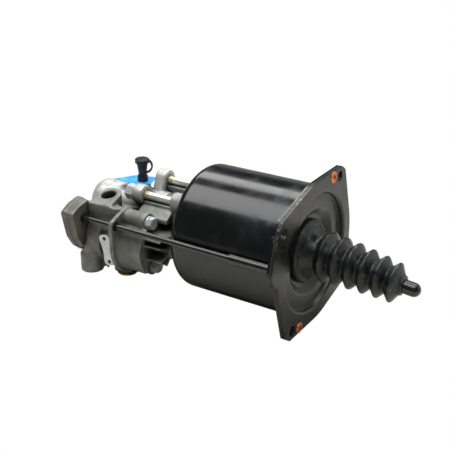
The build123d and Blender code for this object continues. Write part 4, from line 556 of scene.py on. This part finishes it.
@dataclass
class Studio:
    """Camera at the photograph's angle, soft boxes, a pale floor and a white surround.

    The camera's right, up and back are its axes in the frame. Each strip has a name, an angle in
    degrees, a width in metres and a power in watts. The room's greys go round the pushrod's axis,
    from the camera's side (0) over the top to the back (1).
    """

    camera_place: tuple[float, float, float] = (0.2938, -0.5944, 0.3116)
    right: tuple[float, float, float] = (0.8382, 0.5454, 0.0)
    up: tuple[float, float, float] = (-0.2171, 0.3336, 0.9175)
    back: tuple[float, float, float] = (0.5004, -0.7690, 0.3980)
    lens_mm: float = 68.24
    sensor_mm: float = 36.0
    floor_size: float = 6.0
    floor_drop: float = 0.0002
    floor_colour: str = "#aeada9"
    floor_roughness: float = 0.9
    world_strength: float = 0.15
    strip_x: float = -0.25
    strip_distance: float = 0.85
    strip_length: float = 1.3
    strips: tuple[tuple[str, float, float, float], ...] = (
        ("back_strip", 121.0, 0.28, 5.2), ("front_strip", 76.5, 0.54, 9.0))
    top_back: float = 0.25
    top_height: float = 1.0
    top_size: float = 0.8
    top_power: float = 14.0
    fill_place: tuple[float, float, float] = (0.8, -0.1, 0.45)
    fill_size: float = 0.5
    fill_power: float = 1.5
    side_wall: str = "#e6e6e4"
    side_wall_spans: tuple[tuple[float, float], tuple[float, float]] = ((0.0, 0.5), (0.0, 0.4))
    room_greys: tuple[tuple[float, float], ...] = (
        (0.0, 0.1), (0.22, 0.1), (0.32, 0.12), (0.5, 0.12), (0.76, 0.08), (0.8, 0.03), (0.88, 0.05),
        (0.93, 0.25), (1.0, 0.4))

    def camera(self) -> None:
        """Place the camera."""
        data = bpy.data.cameras.new("camera")
        data.lens, data.sensor_width = self.lens_mm, self.sensor_mm
        camera = put("camera", data)
        axes = Matrix((self.right, self.up, self.back)).transposed().to_4x4()
        camera.matrix_world = Matrix.Translation(self.camera_place) @ axes
        bpy.context.scene.camera = camera

    def strip(self, name: str, angle: float, width: float, power: float) -> None:
        """Add a long soft box above the object, in line with the pushrod.

        Args:
            name: name of the lamp.
            angle: angle round the pushrod's axis, from the camera's side over the top, in degrees.
            width: width of the box.
            power: its power in watts.
        """
        data = bpy.data.lights.new(name, "AREA")
        data.shape = "RECTANGLE"
        data.size, data.size_y, data.energy = self.strip_length, width, power
        lamp = put(name, data)
        turn = math.radians(angle)
        lamp.location = (self.strip_x, -self.strip_distance * math.cos(turn),
                         self.strip_distance * math.sin(turn))
        lamp.rotation_euler = (math.pi / 2 - turn, 0, 0)

    def box(self, name: str, place: tuple[float, float, float], size: float, power: float) -> None:
        """Add a square soft box that looks at the object and that gloss doesn't show.

        Args:
            name: name of the lamp.
            place: where it stands.
            size: length of its side.
            power: its power in watts.
        """
        data = bpy.data.lights.new(name, "AREA")
        data.size, data.energy = size, power
        lamp = put(name, data)
        lamp.location = place
        lamp.rotation_euler = (-Vector(place)).to_track_quat("-Z", "Y").to_euler()
        lamp.visible_glossy = False

    def floor(self, lowest: float) -> None:
        """Lay the floor under the object: grey to light and gloss, white to the camera.

        Args:
            lowest: height of the object's lowest point.
        """
        deselect()
        bpy.ops.mesh.primitive_plane_add(size=self.floor_size, location=(0, 0, lowest - self.floor_drop))
        floor = bpy.context.object
        floor.name = "floor"
        material, tree, shader, _ = surface("white_paper_floor")
        shader.inputs["Base Color"].default_value = linear(self.floor_colour)
        shader.inputs["Roughness"].default_value = self.floor_roughness
        glow = add_node(tree, "Emission", Color=linear("#ffffff"), Strength=1.0)
        path = add_node(tree, "LightPath")
        mix = add_node(tree, "MixShader", {0: path.outputs["Is Camera Ray"], 1: shader.outputs[0],
                                           2: glow.outputs[0]})
        tree.links.new(mix.outputs[0], tree.nodes["Material Output"].inputs["Surface"])
        floor.data.materials.append(material)
        floor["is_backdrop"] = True

    def world(self) -> None:
        """Set the even light of the room, what gloss sees of it and the white that the camera sees.

        Gloss sees a grey wall at the back, then a dark gap up to the soft boxes and a dark grey
        ceiling and front, and a pale wall beyond the pushrod, towards the back.
        """
        world = bpy.data.worlds.new("studio")
        bpy.context.scene.world = world
        world.use_nodes = True
        tree = world.node_tree
        room = tree.nodes["Background"]
        room.inputs["Color"].default_value = linear("#ffffff")
        room.inputs["Strength"].default_value = self.world_strength
        way = add_node(tree, "SeparateXYZ", {0: add_node(tree, "TexCoord").outputs["Generated"]})
        back = add_node(tree, "Math", {0: way.outputs["Y"]}, operation="MULTIPLY")
        back.inputs[1].default_value = -1.0
        angle = add_node(tree, "Math", {0: way.outputs["Z"], 1: back.outputs[0]}, operation="ARCTAN2")
        turn = stretch(tree, angle.outputs[0], 0.0, math.pi)
        ramp = add_node(tree, "ValToRGB", {0: turn})
        for _ in range(len(self.room_greys) - 2):
            ramp.color_ramp.elements.new(0.5)
        for element, (at, grey) in zip(ramp.color_ramp.elements, self.room_greys):
            element.position, element.color = at, (grey, grey, grey, 1.0)
        rightwards, backwards = self.side_wall_spans
        side = multiply(tree, stretch(tree, way.outputs["X"], *rightwards),
                        stretch(tree, way.outputs["Y"], *backwards))
        lit = lay_over(tree, side, ramp.outputs[0], self.side_wall)
        gloss = add_node(tree, "Background", {"Color": lit}, Strength=1.0)
        white = add_node(tree, "Background", Color=linear("#ffffff"), Strength=1.0)
        path = add_node(tree, "LightPath")
        seen = add_node(tree, "MixShader", {0: path.outputs["Is Glossy Ray"], 1: room.outputs[0],
                                            2: gloss.outputs[0]})
        mix = add_node(tree, "MixShader", {0: path.outputs["Is Camera Ray"], 1: seen.outputs[0],
                                           2: white.outputs[0]})
        tree.links.new(mix.outputs[0], tree.nodes["World Output"].inputs["Surface"])

    def build(self, lowest: float) -> None:
        """Set up the whole studio.

        Args:
            lowest: height of the object's lowest point.
        """
        bpy.context.scene.view_settings.view_transform = "Standard"
        self.camera()
        self.world()
        for strip in self.strips:
            self.strip(*strip)
        self.box("top_box", (self.strip_x, self.top_back, self.top_height), self.top_size, self.top_power)
        self.box("fill_box", self.fill_place, self.fill_size, self.fill_power)
        self.floor(lowest)


def put(name: str, data: bpy.types.ID) -> bpy.types.Object:
    """Put a mesh, a lamp or a camera into the scene.

    Args:
        name: name of the object.
        data: what the object holds.

    Returns:
        The new object, at the origin.
    """
    item = bpy.data.objects.new(name, data)
    bpy.context.collection.objects.link(item)
    return item


def wear(item: bpy.types.Object, material: bpy.types.Material) -> None:
    """Give an object one material and no other."""
    item.data.materials.clear()
    item.data.materials.append(material)


def deselect() -> None:
    """Deselect every object."""
    for item in bpy.context.selected_objects:
        item.select_set(False)


def only(item: bpy.types.Object) -> None:
    """Select one object and make it the active one."""
    deselect()
    item.select_set(True)
    bpy.context.view_layer.objects.active = item


def apply_modifier(item: bpy.types.Object, kind: str, **settings) -> None:
    """Add a modifier with its settings and apply it.

    Args:
        item: object that is changed.
        kind: type of the modifier.
        settings: attributes of the modifier.
    """
    modifier = item.modifiers.new(kind.lower(), kind)
    for key, value in settings.items():
        setattr(modifier, key, value)
    only(item)
    bpy.ops.object.modifier_apply(modifier=modifier.name)


def copy_of(nodes: dict[str, bpy.types.Object], node: str, name: str) -> bpy.types.Object:
    """Copy a CAD node as a closed mesh of its own.

    Args:
        nodes: CAD nodes by name.
        node: name of the node.
        name: name of the copy.

    Returns:
        The copy, with its doubled vertices merged.
    """
    item = put(name, nodes[node].data.copy())
    only(item)
    bpy.ops.object.mode_set(mode="EDIT")
    bpy.ops.mesh.select_all(action="SELECT")
    bpy.ops.mesh.remove_doubles(threshold=WELD_MM * MM)
    bpy.ops.object.mode_set(mode="OBJECT")
    return item


@dataclass
class Casting:
    """Casting whose inner corners and edges are rounded as a mould leaves them.

    The rounding narrows a bore a little. Where bore_mm is given, the bore is opened to that radius,
    from bore_end_mm on towards the pushrod.
    """

    node: str
    finish: Finish = CAST_ALUMINIUM
    voxel_mm: float = 0.85
    rounds: int = 6
    softness: float = 0.5
    bore_mm: float | None = None
    bore_end_mm: float = 0.0

    def build(self, nodes: dict[str, bpy.types.Object]) -> None:
        """Replace the CAD node by its rounded copy.

        Args:
            nodes: CAD nodes by name.
        """
        piece = copy_of(nodes, self.node, self.node + "_cast")
        apply_modifier(piece, "REMESH", mode="VOXEL", voxel_size=self.voxel_mm * MM)
        apply_modifier(piece, "SMOOTH", factor=self.softness, iterations=self.rounds)
        if self.bore_mm:
            self.ream(piece, self.bore_mm * MM)
        only(piece)
        bpy.ops.object.shade_smooth()
        wear(piece, self.finish.build())
        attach(piece, Body.SERVO.value)
        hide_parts(self.node)
        LOG.info("%s: %d faces", piece.name, len(piece.data.polygons))

    def ream(self, piece: bpy.types.Object, radius: float) -> None:
        """Open the main bore, which lies along X through the origin, so that the plunger runs free.

        The bore's closed end and the dome behind it stay as they are.

        Args:
            piece: the rounded copy.
            radius: least distance from the bore's axis to the metal.
        """
        for vertex in piece.data.vertices:
            across = math.hypot(vertex.co.y, vertex.co.z)
            if vertex.co.x > self.bore_end_mm * MM and 0 < across < radius:
                vertex.co.y *= radius / across
                vertex.co.z *= radius / across


@dataclass
class Spring:
    """Coil spring, kept at the length it has in the CAD model.

    The seat is the station of its fixed end, the free length is what it has at rest, and the
    travel is how far its joint can press it. None of these is used.
    """

    node: str
    joint: str
    seat_mm: float
    free_mm: float
    travel_mm: float
    finish: Finish = SPRING_STEEL
    slot: str = "spring_steel"

    def build(self, nodes: dict[str, bpy.types.Object]) -> None:
        """Replace the CAD spring by a smooth-shaded copy.

        Args:
            nodes: CAD nodes by name.
        """
        piece = copy_of(nodes, self.node, self.node + "_coil")
        only(piece)
        bpy.ops.object.shade_smooth_by_angle(angle=SHARP_ANGLE)
        wear(piece, self.finish.build())
        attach(piece, Body.SERVO.value)
        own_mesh(piece)
        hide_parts(self.node)


@dataclass
class Boot:
    """Rubber boot in three pieces: a base in the cover, the pleats, a neck on the pushrod.

    Stations lie along the pushrod's axis. Each dent has a point on the outside, the way it is
    pressed and its reach, in millimetres.
    """

    node: str = "boot"
    voxel_mm: float = 0.65
    waviness_mm: float = 0.7
    wave_size_mm: float = 14.0
    fold_start_mm: float = -4.0
    fold_end_mm: float = 57.0
    neck_end_mm: float = 80.3
    stroke_mm: float = 50.0
    slot: str = "boot_rubber"
    dents: tuple[tuple[tuple[float, float, float], tuple[float, float, float], float], ...] = (
        ((3.0, -10.0, 17.0), (-0.6, 0.8, -1.3), 7.0),
        ((11.6, 6.0, 21.0), (0.0, -0.4, -1.6), 5.0),
        ((23.8, 4.0, 19.5), (0.8, -0.5, -1.4), 4.5),
        ((36.0, -4.0, 18.0), (-0.6, 0.3, -0.8), 4.0))

    def form(self, nodes: dict[str, bpy.types.Object]) -> bpy.types.Object:
        """Make the whole boot as one soft form: rounded crests, slight waves and a few dents.

        Args:
            nodes: CAD nodes by name.

        Returns:
            The form, still in one piece.
        """
        form = copy_of(nodes, self.node, "boot_form")
        apply_modifier(form, "REMESH", mode="VOXEL", voxel_size=self.voxel_mm * MM)
        clouds = bpy.data.textures.new("boot_waves", "CLOUDS")
        clouds.noise_scale = self.wave_size_mm * MM
        apply_modifier(form, "DISPLACE", texture=clouds, strength=self.waviness_mm * MM, mid_level=0.5)
        for centre, push, reach in self.dents:
            self.dent(form, Vector(centre) * MM, Vector(push) * MM, reach * MM)
        return form

    def dent(self, form: bpy.types.Object, centre: Vector, push: Vector, reach: float) -> None:
        """Press the outside in around a point, most at the point itself.

        Args:
            form: object that is pressed.
            centre: point on its outside.
            push: way and depth of the dent.
            reach: radius of the dent.
        """
        for vertex in form.data.vertices:
            offset = (vertex.co - centre).length / reach
            if offset < 1:
                vertex.co += push * (1 - offset * offset) ** 2

    def part(self, form: bpy.types.Object, name: str, start_mm: float | None, end_mm: float | None,
             finish: Finish) -> bpy.types.Object:
        """Cut one closed piece from the form.

        Args:
            form: whole boot.
            name: name of the piece.
            start_mm: station where it starts, or None for the form's own end.
            end_mm: station where it ends, or None for the form's own end.
            finish: what it is made of.

        Returns:
            The piece.
        """
        piece = put(name, form.data.copy())
        only(piece)
        bpy.ops.object.mode_set(mode="EDIT")
        for station, away in ((start_mm, False), (end_mm, True)):
            if station is not None:
                bpy.ops.mesh.select_all(action="SELECT")
                bpy.ops.mesh.bisect(plane_co=(station * MM, 0, 0), plane_no=(1, 0, 0), use_fill=True,
                                    clear_inner=not away, clear_outer=away)
        bpy.ops.object.mode_set(mode="OBJECT")
        only(piece)
        bpy.ops.object.shade_smooth_by_angle(angle=SHARP_ANGLE)
        wear(piece, finish.build())
        LOG.info("%s: %d faces", piece.name, len(piece.data.polygons))
        return piece

    def build(self, nodes: dict[str, bpy.types.Object]) -> None:
        """Replace the CAD boot by its three soft pieces.

        Args:
            nodes: CAD nodes by name.
        """
        form = self.form(nodes)
        base = self.part(form, "boot_base", None, self.fold_start_mm, BOOT_BASE_RUBBER)
        pleats = self.part(form, "boot_pleats", self.fold_start_mm, self.fold_end_mm, BOOT_RUBBER)
        neck = self.part(form, "boot_neck", self.fold_end_mm, None, BOOT_RUBBER)
        bpy.data.objects.remove(form)
        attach(base, Body.SERVO.value)
        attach(pleats, Body.SERVO.value)
        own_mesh(pleats)
        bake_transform(neck)
        for piece in (base, pleats, neck):
            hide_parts(self.node)


CASTINGS = (
    Casting("relay_housing"),
    Casting("servo_body", BODY_ALUMINIUM, voxel_mm=0.9, bore_mm=11.15, bore_end_mm=-210.0),
    Casting("end_cover", COVER_ALUMINIUM, rounds=3))
SPRINGS = (
    Spring("preload_spring", "piston_slide", seat_mm=-113.69, free_mm=93.37, travel_mm=50.0),
    Spring("relay_spring", "relay_slide", seat_mm=-172.2, free_mm=7.9, travel_mm=3.0),
    Spring("valve_spring", "inlet_valve_slide", seat_mm=-200.7, free_mm=9.7, travel_mm=1.5))


def dress_nodes(nodes: dict[str, bpy.types.Object]) -> None:
    """Give every CAD node its finish.

    Args:
        nodes: CAD nodes by name.
    """
    made: dict[str, bpy.types.Material] = {}
    for name, node in nodes.items():
        finish = NODE_FINISHES[name]
        if finish.name not in made:
            made[finish.name] = finish.build()
        wear(node, made[finish.name])
        LOG.info("%s wears %s", name, finish.name)


def main() -> None:
    """Build the studio, dress the servo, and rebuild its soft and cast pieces."""
    logging.basicConfig(level=logging.INFO, format="%(message)s")
    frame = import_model()
    cad_box = [list(corner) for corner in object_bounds()]
    nodes = frame["nodes"]
    Studio().build(cad_box[0][2])
    dress_nodes(nodes)
    for piece in (*CASTINGS, *SPRINGS, Boot()):
        piece.build(nodes)


if __name__ == "__main__":
    main()
